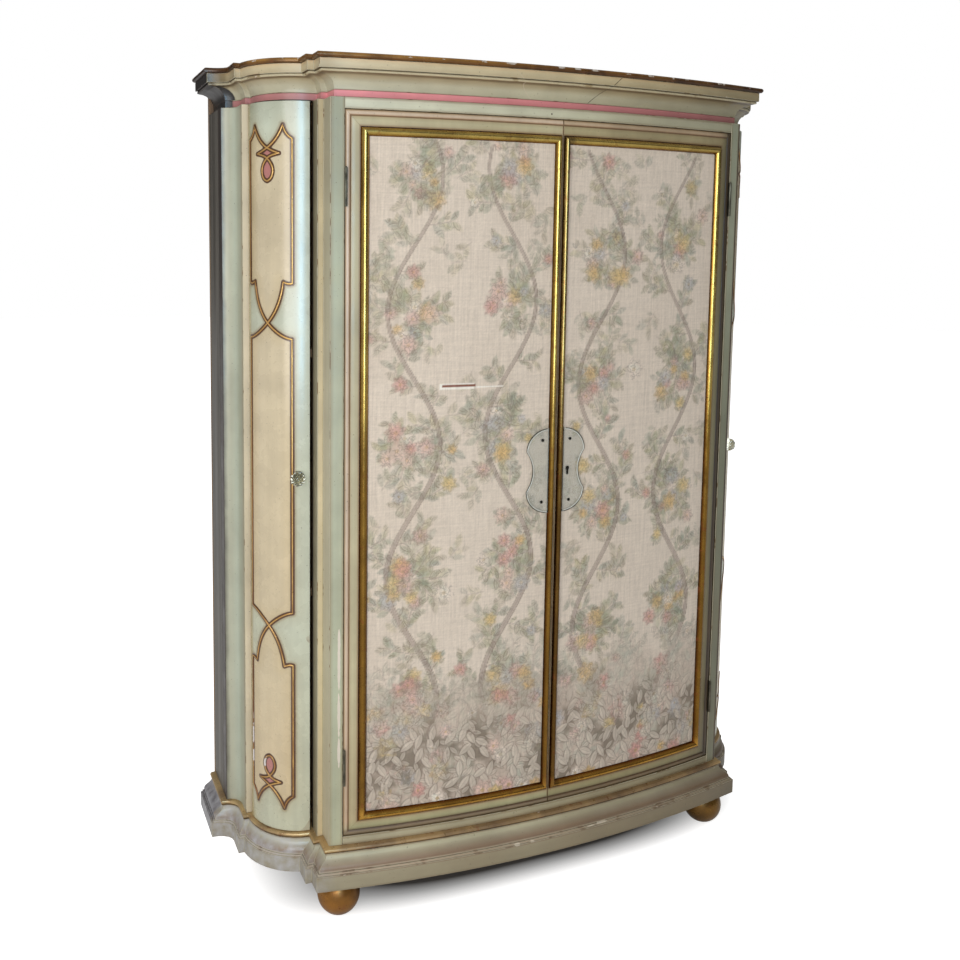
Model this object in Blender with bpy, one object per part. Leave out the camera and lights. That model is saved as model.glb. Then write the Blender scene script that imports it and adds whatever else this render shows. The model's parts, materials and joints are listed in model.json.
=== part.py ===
"""Bow-front linen cabinet with two bowed front doors and two curved corner doors.

Metres, +Z up, front towards -Y, floor at Z = 0. The plan is drawn once, as a function
of an outward offset, and every moulding, board and post takes its outline from it.
"""
import math

import bmesh
import bpy

# Plan of the body, left half; the right half mirrors it. Y = 0 is at the front corners.
FRONT_HALF = 0.505          # half width between the front corners
BOW_DEPTH = 0.045           # how far the front bows out between them
RETURN_DEPTH = 0.043        # front corner back to the small fillet
FILLET_WIDTH = 0.0135       # small fillet beside the corner door
CORNER_SETBACK = 0.026      # small fillet back to the foremost line of the corner door
CORNER_OUT = 0.010          # middle of the corner's curve outside the front corner
CORNER_RADIUS = 0.116       # curved corner door, outer face
POST_FILLET = 0.011         # fillet of the rear post, beside the corner door
POST_RETURN = 0.040         # that fillet back to the hollow
COVE_RADIUS = 0.030         # hollow between the fillet and the flat side
COVE_LEAD = 0.3             # share of an offset by which the hollow moves forward
CORNER_SHARE = 0.62         # share of an outward offset that the rounded corner takes
SIDE_DEPTH = 0.145          # flat side, from the hollow to the rear face
BACK_THICKNESS = 0.012

# Heights: the base counts up from the floor, the cornice down from the top.
TOTAL_HEIGHT = 1.800
PLINTH_BOTTOM = 0.0745
PLINTH_FASCIA_HEIGHT = 0.0335
PLINTH_OGEE_HEIGHT = 0.033  # steps and ogee together
BEAD_HEIGHT = 0.011         # gilt bead and bottom board
FRIEZE_HEIGHT = 0.015
CORNICE_COVE_HEIGHT = 0.029
CORNICE_BEAD_HEIGHT = 0.006
CORNICE_FASCIA_HEIGHT = 0.019
CORNICE_EDGE_HEIGHT = 0.011

# Outward offsets of the mouldings from the body, and how far they reach inwards.
PLINTH_OUT = 0.036
PLINTH_STEP = 0.004
PLINTH_OGEE_OUT = 0.009
OGEE_SWING = 0.8            # how strongly the ogee bends about its chord
BEAD_OUT = 0.013
FRIEZE_RECESS = 0.010
COVE_OUT = 0.022
CORNICE_BEAD_OUT = 0.027
CORNICE_FASCIA_OUT = 0.0305
CORNICE_EDGE_OUT = 0.0375
MOULDING_IN = 0.045
BEAD_IN = 0.022

# Carcass boards.
CLEARANCE = 0.0003          # between pieces that touch
BOARD = 0.018
PILASTER_FACE = 0.0285      # width of the flat face beside a front door
PILASTER_BEHIND = 0.039     # pilaster behind the small fillet's face
POST_SIDE = 0.030           # rear post behind the hollow
POST_WIDTH = 0.060
RAIL_DEPTH = 0.046
TOP_RAIL_HEIGHT = 0.0225
BOTTOM_RAIL_HEIGHT = 0.0178
SHELF_COUNT = 3
CORNER_SHELF_COUNT = 2
SHELF_SETBACK = 0.058       # shelf edge behind the door face
CORNER_SHELF_SETBACK = 0.041
PARTITION_INSET = 0.003     # partition outside the pilaster's inner face
BACK_PANEL_RISE = 0.0055    # back panel above the plinth's underside
BACK_PANEL_DROP = 0.010     # back panel below the top

# Feet.
FOOT_RADIUS = 0.046
FOOT_BALL_HEIGHT = 0.040    # middle of the ball, lower than its radius so that it has a flat to stand on
FOOT_NECK = 0.008           # least radius, where the ball meets the plinth
FRONT_FOOT_IN = 0.025       # front feet inside the front corners
FRONT_FOOT_Y = 0.010
REAR_FOOT_IN = 0.072        # rear feet inside the flat sides
REAR_FOOT_FORWARD = 0.070   # and in front of the rear face

# Front doors.
DOOR_GAP = 0.003            # between door and pilaster, and above and below the door
MEETING_GAP = 0.002
DOOR_THICKNESS = 0.026
LIP_SIDE = 0.029            # painted margins round the gilt moulding
LIP_TOP = 0.031
LIP_MEETING = 0.0012
FRAME_SIDE = 0.055          # full widths of the frame behind the panel
FRAME_MEETING = 0.045
PANEL_THICKNESS = 0.006
LINEN_THICKNESS = 0.0012
LINEN_SETBACK = 0.0027
GILT_WIDTH = 0.0185
GILT_MEETING_WIDTH = 0.016
GILT_HEIGHT = 0.0100

# Push plates, lock and bolt.
PLATE_CENTRE_Z = 0.939
PLATE_HALF_HEIGHT = 0.094
PLATE_LOBE = 0.053          # reach at the cusps
PLATE_CUSP = 0.0447         # height of a cusp above the plate's middle
PLATE_WAIST = 0.0375
PLATE_THICKNESS = 0.004
PLATE_SCREW_X = 0.0155      # from the straight edge of the plate
PLATE_SCREW_Z = 0.0686
SCREW_HOLE = 0.0021
KEYHOLE_RADIUS = 0.0038
KEYHOLE_SLOT = 0.0042
KEYHOLE_LENGTH = 0.012
KEYHOLE_X = 0.011
LOCK_WIDTH = 0.048
LOCK_HEIGHT = 0.070
LOCK_DEPTH = 0.013
LOCK_BOLT_HEIGHT = 0.016
LOCK_BOLT_DEPTH = 0.006
LOCK_BOLT_LENGTH = 0.034
LOCK_THROW = 0.014
LOCK_EDGE = 0.0025          # lock case and keeper back from the door edge
KEEPER_WALL = 0.004
RUNNING_CLEARANCE = 0.0005
BOLT_X = 0.060              # top bolt of the left door, from the middle
BOLT_RADIUS = 0.0035
BOLT_BALL_RADIUS = 0.0065
BOLT_LENGTH = 0.110
BOLT_THROW = 0.014
BOLT_TOP_DROP = 0.004       # bolt end below the door top when drawn back
BOLT_GUIDE_WIDTH = 0.022
BOLT_GUIDE_DEPTH = 0.013
BOLT_GUIDE_HEIGHT = 0.030
BOLT_GUIDE_DROP = 0.018
BOLT_ROOM = 0.001           # beyond a shot bolt, and round the top bolt in its mortise

# Hinges.
HINGE_LENGTH = 0.078
HINGE_INSET = 0.152         # hinge middle from the door's end
HINGE_BARREL = 0.003
HINGE_PIN = 0.0013
HINGE_LEAF = 0.001
HINGE_LEAF_LENGTH = 0.020
HINGE_PROUD = 0.0045        # front hinge pin in front of the door face
PIN_HEAD = 0.0022

# Corner doors.
CORNER_DOOR_THICKNESS = 0.018
CORNER_DOOR_GAP = 0.0085    # shadow gap at the leading edge
CORNER_DOOR_CLEAR = 0.002   # above and below the door
PIVOT_INSET = 0.014         # pivot pin behind the outer face
PIVOT_SETBACK = 0.020       # pivot pin in front of the rear post
PIVOT_PIN = 0.003
PIVOT_DEPTH = 0.012         # pin inside the door
ROUNDING_GAP = 0.0015       # rounded rear edge clear of the post
KNOB_ANGLE = math.radians(18.0)
KNOB_Z = 0.940
KNOB_RADIUS = 0.016
KNOB_NECK = 0.0065
KNOB_LENGTH = 0.036
ROSE_RADIUS = 0.013
ROSE_HEIGHT = 0.005

# Facets.
BOW_STEPS = 10
CORNER_STEPS = 10
COVE_STEPS = 5
DOOR_STEPS = 12
MOULDING_STEPS = 6
PLATE_STEPS = 8
ROUND = 12
BALL_STEPS = 10
BALL_SIDES = 20
KNOB_SIDES = 16

BOW_RADIUS = (FRONT_HALF ** 2 + BOW_DEPTH ** 2) / (2 * BOW_DEPTH)
BOW_CENTRE_Y = BOW_RADIUS - BOW_DEPTH
CORNER_CENTRE_X = FRONT_HALF + CORNER_OUT
CORNER_CENTRE_Y = RETURN_DEPTH + CORNER_SETBACK + CORNER_RADIUS
POST_X = CORNER_CENTRE_X + CORNER_RADIUS + POST_FILLET
SIDE_HALF = POST_X + COVE_RADIUS
SIDE_FRONT_Y = CORNER_CENTRE_Y + POST_RETURN + COVE_RADIUS
BACK_Y = SIDE_FRONT_Y + SIDE_DEPTH
RING_BACK = BACK_Y - BACK_THICKNESS - CLEARANCE
PLINTH_FASCIA_TOP = PLINTH_BOTTOM + PLINTH_FASCIA_HEIGHT
PLINTH_TOP = PLINTH_FASCIA_TOP + PLINTH_OGEE_HEIGHT
FLOOR_TOP = PLINTH_TOP + BEAD_HEIGHT
CORNICE_FASCIA_TOP = TOTAL_HEIGHT - CORNICE_EDGE_HEIGHT
CORNICE_FASCIA_BOTTOM = CORNICE_FASCIA_TOP - CORNICE_FASCIA_HEIGHT
CORNICE_COVE_TOP = CORNICE_FASCIA_BOTTOM - CORNICE_BEAD_HEIGHT
FRIEZE_TOP = CORNICE_COVE_TOP - CORNICE_COVE_HEIGHT
FRIEZE_BOTTOM = FRIEZE_TOP - FRIEZE_HEIGHT
PILASTER_BACK_Y = RETURN_DEPTH + PILASTER_BEHIND
POST_BACK_Y = SIDE_FRONT_Y + POST_SIDE
POST_INNER = SIDE_HALF - POST_WIDTH
CORNER_SHELF_RADIUS = CORNER_RADIUS - CORNER_SHELF_SETBACK
PILASTER_INNER = FRONT_HALF - PILASTER_FACE
FILLET_X = FRONT_HALF + FILLET_WIDTH
PARTITION_INNER = PILASTER_INNER + PARTITION_INSET
PARTITION_OUTER = PARTITION_INNER + BOARD
DOOR_EDGE = PILASTER_INNER - DOOR_GAP
DOOR_MEETING = MEETING_GAP / 2
DOOR_BOTTOM = FLOOR_TOP + CLEARANCE + BOTTOM_RAIL_HEIGHT + DOOR_GAP
DOOR_TOP = FRIEZE_BOTTOM - TOP_RAIL_HEIGHT - DOOR_GAP
REBATE = LINEN_SETBACK + LINEN_THICKNESS + PANEL_THICKNESS + 2 * CLEARANCE
CORNER_DOOR_BOTTOM = FLOOR_TOP + CORNER_DOOR_CLEAR
CORNER_DOOR_TOP = FRIEZE_BOTTOM - CORNER_DOOR_CLEAR
POST_BOTTOM = FLOOR_TOP + CLEARANCE
LEAF_GAP = DOOR_GAP - 2 * HINGE_LEAF - 2 * CLEARANCE


def clear_scene():
    for old in list(bpy.data.objects):
        bpy.data.objects.remove(old)


def finish(name, colour, roughness, metallic=0.0):
    """A material of one piece: its colour, roughness and metallic value."""
    material = bpy.data.materials.new(name)
    material.use_nodes = True
    shader = material.node_tree.nodes["Principled BSDF"]
    shader.inputs["Base Color"].default_value = (*colour, 1.0)
    shader.inputs["Roughness"].default_value = roughness
    shader.inputs["Metallic"].default_value = metallic
    return material


def empty(name, location, parent=None):
    """A pivot that moving pieces hang on."""
    pivot = bpy.data.objects.new(name, None)
    pivot.location = location
    pivot.parent = parent
    bpy.context.collection.objects.link(pivot)
    return pivot


class Solid:
    """Points and faces of one or more closed shells, gathered before they become an object."""

    def __init__(self):
        self.points = []
        self.faces = []

    def add(self, points, faces):
        base = len(self.points)
        self.points.extend(points)
        self.faces.extend([tuple(base + index for index in face) for face in faces])
        return self


def grid(rows, closed_rows, closed_columns):
    """Faces of a grid of rows, with end caps where the rows are open rings."""
    count = len(rows)
    width = len(rows[0])
    points = [point for row in rows for point in row]
    faces = []
    for r in range(count if closed_rows else count - 1):
        for c in range(width if closed_columns else width - 1):
            below = (r + 1) % count
            right = (c + 1) % width
            faces.append((r * width + c, r * width + right, below * width + right, below * width + c))
    if closed_rows and not closed_columns:
        faces.append(tuple(r * width for r in range(count)))
        faces.append(tuple(r * width + width - 1 for r in reversed(range(count))))
    if closed_columns and not closed_rows:
        faces.append(tuple(reversed(range(width))))
        faces.append(tuple((count - 1) * width + c for c in range(width)))
    return points, faces


def prism(outline, low, high):
    """An outline in plan carried straight up."""
    return grid([[(x, y, z) for x, y in outline] for z in (low, high)], False, True)


def box(x0, x1, y0, y1, z0, z1):
    return prism([(x0, y0), (x1, y0), (x1, y1), (x0, y1)], z0, z1)


def sweep(profile, path):
    """A closed profile of (offset, height) points carried along a plan path of that offset."""
    return grid([[(x, y, z) for x, y in path(d)] for d, z in profile], True, False)


def lathe(profile, steps):
    """A profile of (radius, height) points, from axis to axis, turned about Z."""
    points = [(0.0, 0.0, profile[0][1])]
    faces = []
    rings = []
    for radius, height in profile[1:-1]:
        rings.append(len(points))
        for s in range(steps):
            angle = 2 * math.pi * s / steps
            points.append((radius * math.cos(angle), radius * math.sin(angle), height))
    points.append((0.0, 0.0, profile[-1][1]))
    last = len(points) - 1
    for s in range(steps):
        t = (s + 1) % steps
        faces.append((0, rings[0] + t, rings[0] + s))
        for a, b in zip(rings, rings[1:]):
            faces.append((a + s, a + t, b + t, b + s))
        faces.append((last, rings[-1] + s, rings[-1] + t))
    return points, faces


def moved(shape, offset):
    points, faces = shape
    return [tuple(p[i] + offset[i] for i in range(3)) for p in points], faces


def mirrored(shape):
    points, faces = shape
    return [(-x, y, z) for x, y, z in points], faces


def place(name, material, pivot, *shapes, smooth=None):
    """One named object from closed shells given in the cabinet's frame, hung on its pivot."""
    solid = Solid()
    for shape in shapes:
        solid.add(*shape)
    origin = [0.0, 0.0, 0.0]
    carrier = pivot
    while carrier.parent:
        origin = [origin[i] + carrier.location[i] for i in range(3)]
        carrier = carrier.parent
    mesh = bpy.data.meshes.new(name)
    mesh.from_pydata([tuple(p[i] - origin[i] for i in range(3)) for p in solid.points], [], solid.faces)
    shell = bmesh.new()
    shell.from_mesh(mesh)
    bmesh.ops.recalc_face_normals(shell, faces=shell.faces)
    shell.to_mesh(mesh)
    shell.free()
    if smooth:
        mesh.shade_smooth()
        mesh.set_sharp_from_angle(angle=math.radians(smooth))
    mesh.materials.append(material)
    piece = bpy.data.objects.new(name, mesh)
    piece.parent = pivot
    bpy.context.collection.objects.link(piece)
    return piece


def boolean(piece, operation, name, *shapes):
    """Join or cut a piece with a hidden tool made of closed shells."""
    tool = place(name, piece.data.materials[0], piece.parent, *shapes)
    tool.hide_render = True
    tool.display_type = "WIRE"
    change = piece.modifiers.new(name, "BOOLEAN")
    change.operation = operation
    change.object = tool
    change.solver = "EXACT"


def bow(x, offset):
    """The point of the bowed front at x on its face, moved out by an offset."""
    angle = math.asin(x / BOW_RADIUS)
    radius = BOW_RADIUS + offset
    return radius * math.sin(angle), BOW_CENTRE_Y - radius * math.cos(angle)


def half_plan(offset):
    """The left half of the plan, from the middle of the front to the back, at an offset."""
    corner_x = FRONT_HALF + offset
    radius = BOW_RADIUS + offset
    sweep_angle = math.asin(corner_x / radius)
    points = []
    for i in range(BOW_STEPS + 1):
        angle = sweep_angle * i / BOW_STEPS
        points.append((-radius * math.sin(angle), BOW_CENTRE_Y - radius * math.cos(angle)))
    points.append((-corner_x, RETURN_DEPTH - offset))
    points.append((-FILLET_X - offset, RETURN_DEPTH - offset))
    corner = offset * CORNER_SHARE if offset > 0 else offset
    radius = CORNER_RADIUS + corner
    first = math.asin((FILLET_X + offset - CORNER_CENTRE_X) / radius)
    last = math.acos(corner / radius)
    for i in range(CORNER_STEPS + 1):
        angle = first + (last - first) * i / CORNER_STEPS
        points.append((-CORNER_CENTRE_X - radius * math.sin(angle), CORNER_CENTRE_Y - radius * math.cos(angle)))
    points.append((-POST_X - corner, CORNER_CENTRE_Y - corner))
    cove_y = SIDE_FRONT_Y - COVE_RADIUS - COVE_LEAD * offset
    cove_width = COVE_RADIUS + offset - corner
    for i in range(COVE_STEPS + 1):
        angle = 0.5 * math.pi * i / COVE_STEPS
        x = -SIDE_HALF - offset + cove_width * math.cos(angle)
        points.append((x, cove_y + COVE_RADIUS * math.sin(angle)))
    points.append((-SIDE_HALF - offset, RING_BACK))
    return points


def plan(offset):
    """The whole plan, from the left rear round the front to the right rear."""
    left = half_plan(offset)
    return left[::-1] + [(-x, y) for x, y in left[1:]]


def bow_path(x0, x1):
    """A path along the bowed front between two places on its face."""
    def path(offset):
        return [bow(x0 + (x1 - x0) * i / DOOR_STEPS, offset) for i in range(DOOR_STEPS + 1)]
    return path


def bow_block(x0, x1, front, rear, z0, z1):
    profile = [(front, z0), (front, z1), (rear, z1), (rear, z0)]
    return sweep(profile, bow_path(x0, x1))


def bow_ring(x0, x1, z0, z1, rows):
    """A frame on the bowed front: each row is four insets from the outline and an offset."""
    loops = []
    for (left, right, bottom, top), offset in rows:
        along = [x0 + left + (x1 - right - x0 - left) * i / DOOR_STEPS for i in range(DOOR_STEPS + 1)]
        lower = [(*bow(x, offset), z0 + bottom) for x in along]
        upper = [(*bow(x, offset), z1 - top) for x in reversed(along)]
        loops.append(lower + upper)
    return grid(loops, True, True)


def hinge_leaf(name, pivot, axis, door_side, z_middle, spans, pin_fixed):
    """One leaf of a butt hinge: a plate in the door gap, its knuckles, and the pin or its bore.

    axis is the pin's place in plan, door_side is 1 where this leaf lies towards +X, and
    spans are the shares of the hinge's length that its knuckles take.
    """
    def at(u, v):
        return axis[0] + v * door_side, axis[1] + u
    near = LEAF_GAP / 2
    far = near + HINGE_LEAF
    start = HINGE_BARREL + CLEARANCE
    end = HINGE_BARREL + HINGE_LEAF_LENGTH
    low = z_middle - HINGE_LENGTH / 2
    plate = prism([at(start, near), at(end, near), at(end, far), at(start, far)], low, low + HINGE_LENGTH)
    slim = HINGE_LEAF / 10
    first = math.asin((far - slim) / HINGE_BARREL)
    last = math.asin((near + slim) / HINGE_BARREL) + 2 * math.pi
    outline = []
    for i in range(ROUND + 1):
        angle = first + (last - first) * i / ROUND
        outline.append(at(HINGE_BARREL * math.cos(angle), HINGE_BARREL * math.sin(angle)))
    neck_end = start + HINGE_LEAF_LENGTH / 5
    outline += [at(neck_end, near + slim), at(neck_end, far - slim)]
    knuckles = [prism(outline, low + a * HINGE_LENGTH + CLEARANCE, low + b * HINGE_LENGTH - CLEARANCE)
                for a, b in spans]
    leaf = place(name, IRON, pivot, plate)
    boolean(leaf, "UNION", name + ".knuckles", *knuckles)
    half = HINGE_LENGTH / 2
    if pin_fixed:
        tip = half + PIN_HEAD
        pin = [(0, -half), (HINGE_PIN, -half), (HINGE_PIN, half - PIN_HEAD), (PIN_HEAD, half - PIN_HEAD),
               (PIN_HEAD, half), (PIN_HEAD / 2, tip), (0, tip)]
        boolean(leaf, "UNION", name + ".pin", moved(lathe(pin, ROUND), (*axis, z_middle)))
    else:
        bore = [(0, -half), (HINGE_PIN + CLEARANCE, -half), (HINGE_PIN + CLEARANCE, half), (0, half)]
        boolean(leaf, "DIFFERENCE", name + ".bore", moved(lathe(bore, ROUND), (*axis, z_middle)))


clear_scene()
SAGE = finish("sage paint", (0.50, 0.50, 0.36), 0.42)
ROSE_PINK = finish("pink paint", (0.52, 0.23, 0.25), 0.45)
GILT = finish("gilding", (0.62, 0.38, 0.10), 0.32, 0.9)
DARK = finish("dark stain", (0.05, 0.045, 0.04), 0.55)
WOOD = finish("inside wood", (0.33, 0.20, 0.10), 0.65)
LINEN = finish("printed linen", (0.55, 0.49, 0.41), 0.90)
BRASS = finish("brass", (0.58, 0.40, 0.16), 0.35, 1.0)
IRON = finish("dark iron", (0.06, 0.055, 0.05), 0.45, 0.9)
CLEAR = finish("clear acrylic", (0.86, 0.90, 0.88), 0.08)

# The origin stands on the floor under the middle of the whole cabinet.
FRONT_MOST = -BOW_DEPTH - CORNICE_EDGE_OUT
cabinet = empty("cabinet", (0.0, -(BACK_Y + FRONT_MOST) / 2, 0.0))

# Ball feet, turned, under the corners of the plinth.
ball = [(0.0, 0.0)]
foot_top = PLINTH_BOTTOM - CLEARANCE
for i in range(BALL_STEPS + 1):
    z = foot_top * i / BALL_STEPS
    ball.append((math.sqrt(max(FOOT_RADIUS ** 2 - (z - FOOT_BALL_HEIGHT) ** 2, FOOT_NECK ** 2)), z))
ball.append((0.0, foot_top))
foot_places = {"front": (FRONT_HALF - FRONT_FOOT_IN, FRONT_FOOT_Y),
               "rear": (SIDE_HALF - REAR_FOOT_IN, BACK_Y - REAR_FOOT_FORWARD)}
for side, sign in (("left", -1), ("right", 1)):
    for end, (x, y) in foot_places.items():
        place("foot_" + end + "_" + side, GILT, cabinet, moved(lathe(ball, BALL_SIDES), (sign * x, y, 0.0)),
              smooth=50)

# Plinth: plain fascia, two small steps and an ogee, following the whole plan.
step = PLINTH_STEP
ogee_base = PLINTH_FASCIA_TOP + 2 * step
plinth = [(-MOULDING_IN, PLINTH_BOTTOM), (PLINTH_OUT, PLINTH_BOTTOM), (PLINTH_OUT, PLINTH_FASCIA_TOP),
          (PLINTH_OUT - step, PLINTH_FASCIA_TOP), (PLINTH_OUT - step, PLINTH_FASCIA_TOP + step),
          (PLINTH_OUT - 2 * step, PLINTH_FASCIA_TOP + step)]
for i in range(MOULDING_STEPS + 1):
    t = i / MOULDING_STEPS
    ease = t - OGEE_SWING * math.sin(2 * math.pi * t) / (2 * math.pi)
    out = PLINTH_OUT - 2 * step + (PLINTH_OGEE_OUT - PLINTH_OUT + 2 * step) * ease
    plinth.append((out, ogee_base + (PLINTH_TOP - step - ogee_base) * t))
plinth += [(PLINTH_OGEE_OUT, PLINTH_TOP), (-MOULDING_IN, PLINTH_TOP)]
place("plinth_moulding", SAGE, cabinet, sweep(plinth, plan), smooth=35)

# Gilt bead: a strip with a half-round nose on top of the plinth.
bead_low = PLINTH_TOP + CLEARANCE
bead_radius = (FLOOR_TOP - bead_low) / 2
bead = [(-BEAD_IN, FLOOR_TOP), (-BEAD_IN, bead_low)]
for i in range(MOULDING_STEPS + 1):
    angle = math.pi * (i / MOULDING_STEPS - 0.5)
    bead.append((BEAD_OUT - bead_radius + bead_radius * math.cos(angle),
                 bead_low + bead_radius * (1 + math.sin(angle))))
place("plinth_gilt_bead", GILT, cabinet, sweep(bead, plan), smooth=50)

# Carcass: bottom, front posts, rear posts, sides, partitions, rails, back and top.
place("bottom_board", WOOD, cabinet, prism(plan(-BEAD_IN - CLEARANCE), bead_low, FLOOR_TOP))
pilaster = [bow(-PILASTER_INNER, 0.0), bow(-PILASTER_INNER - PILASTER_FACE / 2, 0.0), (-FRONT_HALF, 0.0),
            (-FRONT_HALF, RETURN_DEPTH), (-FILLET_X, RETURN_DEPTH), (-FILLET_X, PILASTER_BACK_Y),
            (-PILASTER_INNER, PILASTER_BACK_Y)]
post = [(-POST_INNER, CORNER_CENTRE_Y), (-POST_X, CORNER_CENTRE_Y)]
for i in range(COVE_STEPS + 1):
    angle = 0.5 * math.pi * i / COVE_STEPS
    post.append((-SIDE_HALF + COVE_RADIUS * math.cos(angle),
                 SIDE_FRONT_Y - COVE_RADIUS + COVE_RADIUS * math.sin(angle)))
post += [(-SIDE_HALF, POST_BACK_Y), (-POST_INNER, POST_BACK_Y)]
for side, turn in (("left", lambda shape: shape), ("right", mirrored)):
    place("pilaster_" + side, SAGE, cabinet, turn(prism(pilaster, POST_BOTTOM, FRIEZE_BOTTOM)))
    place("rear_post_" + side, SAGE, cabinet, turn(prism(post, POST_BOTTOM, FRIEZE_BOTTOM)), smooth=40)
    place("end_panel_" + side, DARK, cabinet, turn(box(-SIDE_HALF, -SIDE_HALF + BOARD, POST_BACK_Y + CLEARANCE,
                                                       RING_BACK, POST_BOTTOM, FRIEZE_BOTTOM)))
    place("partition_" + side, WOOD, cabinet, turn(box(-PARTITION_OUTER, -PARTITION_INNER,
                                                       PILASTER_BACK_Y + CLEARANCE, RING_BACK,
                                                       POST_BOTTOM, FRIEZE_BOTTOM)))
rail_end = PILASTER_INNER - CLEARANCE
place("front_bottom_rail", SAGE, cabinet,
      bow_block(-rail_end, rail_end, 0.0, -RAIL_DEPTH, POST_BOTTOM, POST_BOTTOM + BOTTOM_RAIL_HEIGHT))
top_rail = place("front_top_rail", SAGE, cabinet,
                 bow_block(-rail_end, rail_end, 0.0, -RAIL_DEPTH, FRIEZE_BOTTOM - TOP_RAIL_HEIGHT, FRIEZE_BOTTOM))
place("back_panel", WOOD, cabinet, box(-SIDE_HALF, SIDE_HALF, BACK_Y - BACK_THICKNESS, BACK_Y,
                                       PLINTH_BOTTOM + BACK_PANEL_RISE, TOTAL_HEIGHT - BACK_PANEL_DROP))
frieze_low = FRIEZE_BOTTOM + CLEARANCE
place("top_board", WOOD, cabinet, prism(plan(-MOULDING_IN - CLEARANCE), frieze_low, FRIEZE_TOP))

# Frieze band and cornice: recessed band, cove, small bead, fascia and gilt edge.
frieze = [(-MOULDING_IN, frieze_low), (-FRIEZE_RECESS, frieze_low), (-FRIEZE_RECESS, FRIEZE_TOP),
          (-MOULDING_IN, FRIEZE_TOP)]
place("frieze_band", ROSE_PINK, cabinet, sweep(frieze, plan), smooth=25)
cornice_low = FRIEZE_TOP + CLEARANCE
cornice = [(-MOULDING_IN, CORNICE_FASCIA_TOP), (-MOULDING_IN, cornice_low)]
for i in range(MOULDING_STEPS + 1):
    angle = 0.5 * math.pi * i / MOULDING_STEPS
    cornice.append((-FRIEZE_RECESS + (COVE_OUT + FRIEZE_RECESS) * (1 - math.cos(angle)),
                    cornice_low + (CORNICE_COVE_TOP - cornice_low) * math.sin(angle)))
bead_half = (CORNICE_FASCIA_BOTTOM - CORNICE_COVE_TOP) / 2
for i in range(1, 4):
    angle = math.pi * (i / 4 - 0.5)
    cornice.append((COVE_OUT + (CORNICE_BEAD_OUT - COVE_OUT) * math.cos(angle),
                    CORNICE_COVE_TOP + bead_half * (1 + math.sin(angle))))
cornice += [(COVE_OUT, CORNICE_FASCIA_BOTTOM), (CORNICE_FASCIA_OUT, CORNICE_FASCIA_BOTTOM),
            (CORNICE_FASCIA_OUT, CORNICE_FASCIA_TOP)]
place("cornice_moulding", SAGE, cabinet, sweep(cornice, plan), smooth=35)
edge_low = CORNICE_FASCIA_TOP + CLEARANCE
edge_half = (TOTAL_HEIGHT - edge_low) / 2
edge = [(-MOULDING_IN, TOTAL_HEIGHT), (-MOULDING_IN, edge_low)]
for i in range(MOULDING_STEPS + 1):
    angle = math.pi * (i / MOULDING_STEPS - 0.5)
    edge.append((CORNICE_EDGE_OUT - edge_half + edge_half * math.cos(angle),
                 edge_low + edge_half * (1 + math.sin(angle))))
place("cornice_gilt_edge", GILT, cabinet, sweep(edge, plan), smooth=50)

# Shelves, housed between the partitions, posts and sides: bowed in the middle, rounded in the corners.
front_half = PILASTER_INNER - CLEARANCE
shelf_half = PARTITION_INNER - CLEARANCE
shelf_back = RING_BACK - CLEARANCE
notch_y = PILASTER_BACK_Y + CLEARANCE
middle_shelf = bow_path(-front_half, front_half)(-SHELF_SETBACK)
middle_shelf += [(front_half, notch_y), (shelf_half, notch_y), (shelf_half, shelf_back),
                 (-shelf_half, shelf_back), (-shelf_half, notch_y), (-front_half, notch_y)]
for level in range(1, SHELF_COUNT + 1):
    z = FLOOR_TOP + (FRIEZE_BOTTOM - FLOOR_TOP) * level / (SHELF_COUNT + 1) - BOARD / 2
    place("middle_shelf_" + str(level), WOOD, cabinet, prism(middle_shelf, z, z + BOARD))
corner_shelf = [(-PARTITION_OUTER - CLEARANCE, shelf_back)]
corner_shelf.append((-PARTITION_OUTER - CLEARANCE, CORNER_CENTRE_Y - CORNER_SHELF_RADIUS))
for i in range(CORNER_STEPS + 1):
    angle = 0.5 * math.pi * i / (CORNER_STEPS + 1)
    corner_shelf.append((-CORNER_CENTRE_X - CORNER_SHELF_RADIUS * math.sin(angle),
                         CORNER_CENTRE_Y - CORNER_SHELF_RADIUS * math.cos(angle)))
corner_shelf += [(-POST_INNER + CLEARANCE, CORNER_CENTRE_Y + CLEARANCE),
                 (-POST_INNER + CLEARANCE, POST_BACK_Y + CLEARANCE),
                 (-SIDE_HALF + BOARD + CLEARANCE, POST_BACK_Y + CLEARANCE),
                 (-SIDE_HALF + BOARD + CLEARANCE, shelf_back)]
for level in range(1, CORNER_SHELF_COUNT + 1):
    z = FLOOR_TOP + (FRIEZE_BOTTOM - FLOOR_TOP) * level / (CORNER_SHELF_COUNT + 1) - BOARD / 2
    shelf = prism(corner_shelf, z, z + BOARD)
    place("left_corner_shelf_" + str(level), WOOD, cabinet, shelf)
    place("right_corner_shelf_" + str(level), WOOD, cabinet, mirrored(shelf))

# Front doors: each hangs on a pivot on its hinge pins.
front_axis = (PILASTER_INNER - DOOR_GAP / 2, bow(PILASTER_INNER, 0.0)[1] - HINGE_PROUD)
hinge_heights = {"lower": DOOR_BOTTOM + HINGE_INSET, "upper": DOOR_TOP - HINGE_INSET}
lip = (LIP_SIDE, LIP_MEETING, LIP_SIDE, LIP_TOP)
full = (FRAME_SIDE, FRAME_MEETING, FRAME_SIDE, FRAME_SIDE)
flat = (0.0, 0.0, 0.0, 0.0)
frame_rows = [(flat, 0.0), (lip, 0.0), (lip, -REBATE), (full, -REBATE), (full, -DOOR_THICKNESS),
              (flat, -DOOR_THICKNESS)]
panel_front = -REBATE + CLEARANCE + PANEL_THICKNESS
linen_back = panel_front + CLEARANCE
gilt_base = -LINEN_SETBACK + CLEARANCE
seat = [margin + CLEARANCE for margin in lip]
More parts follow.
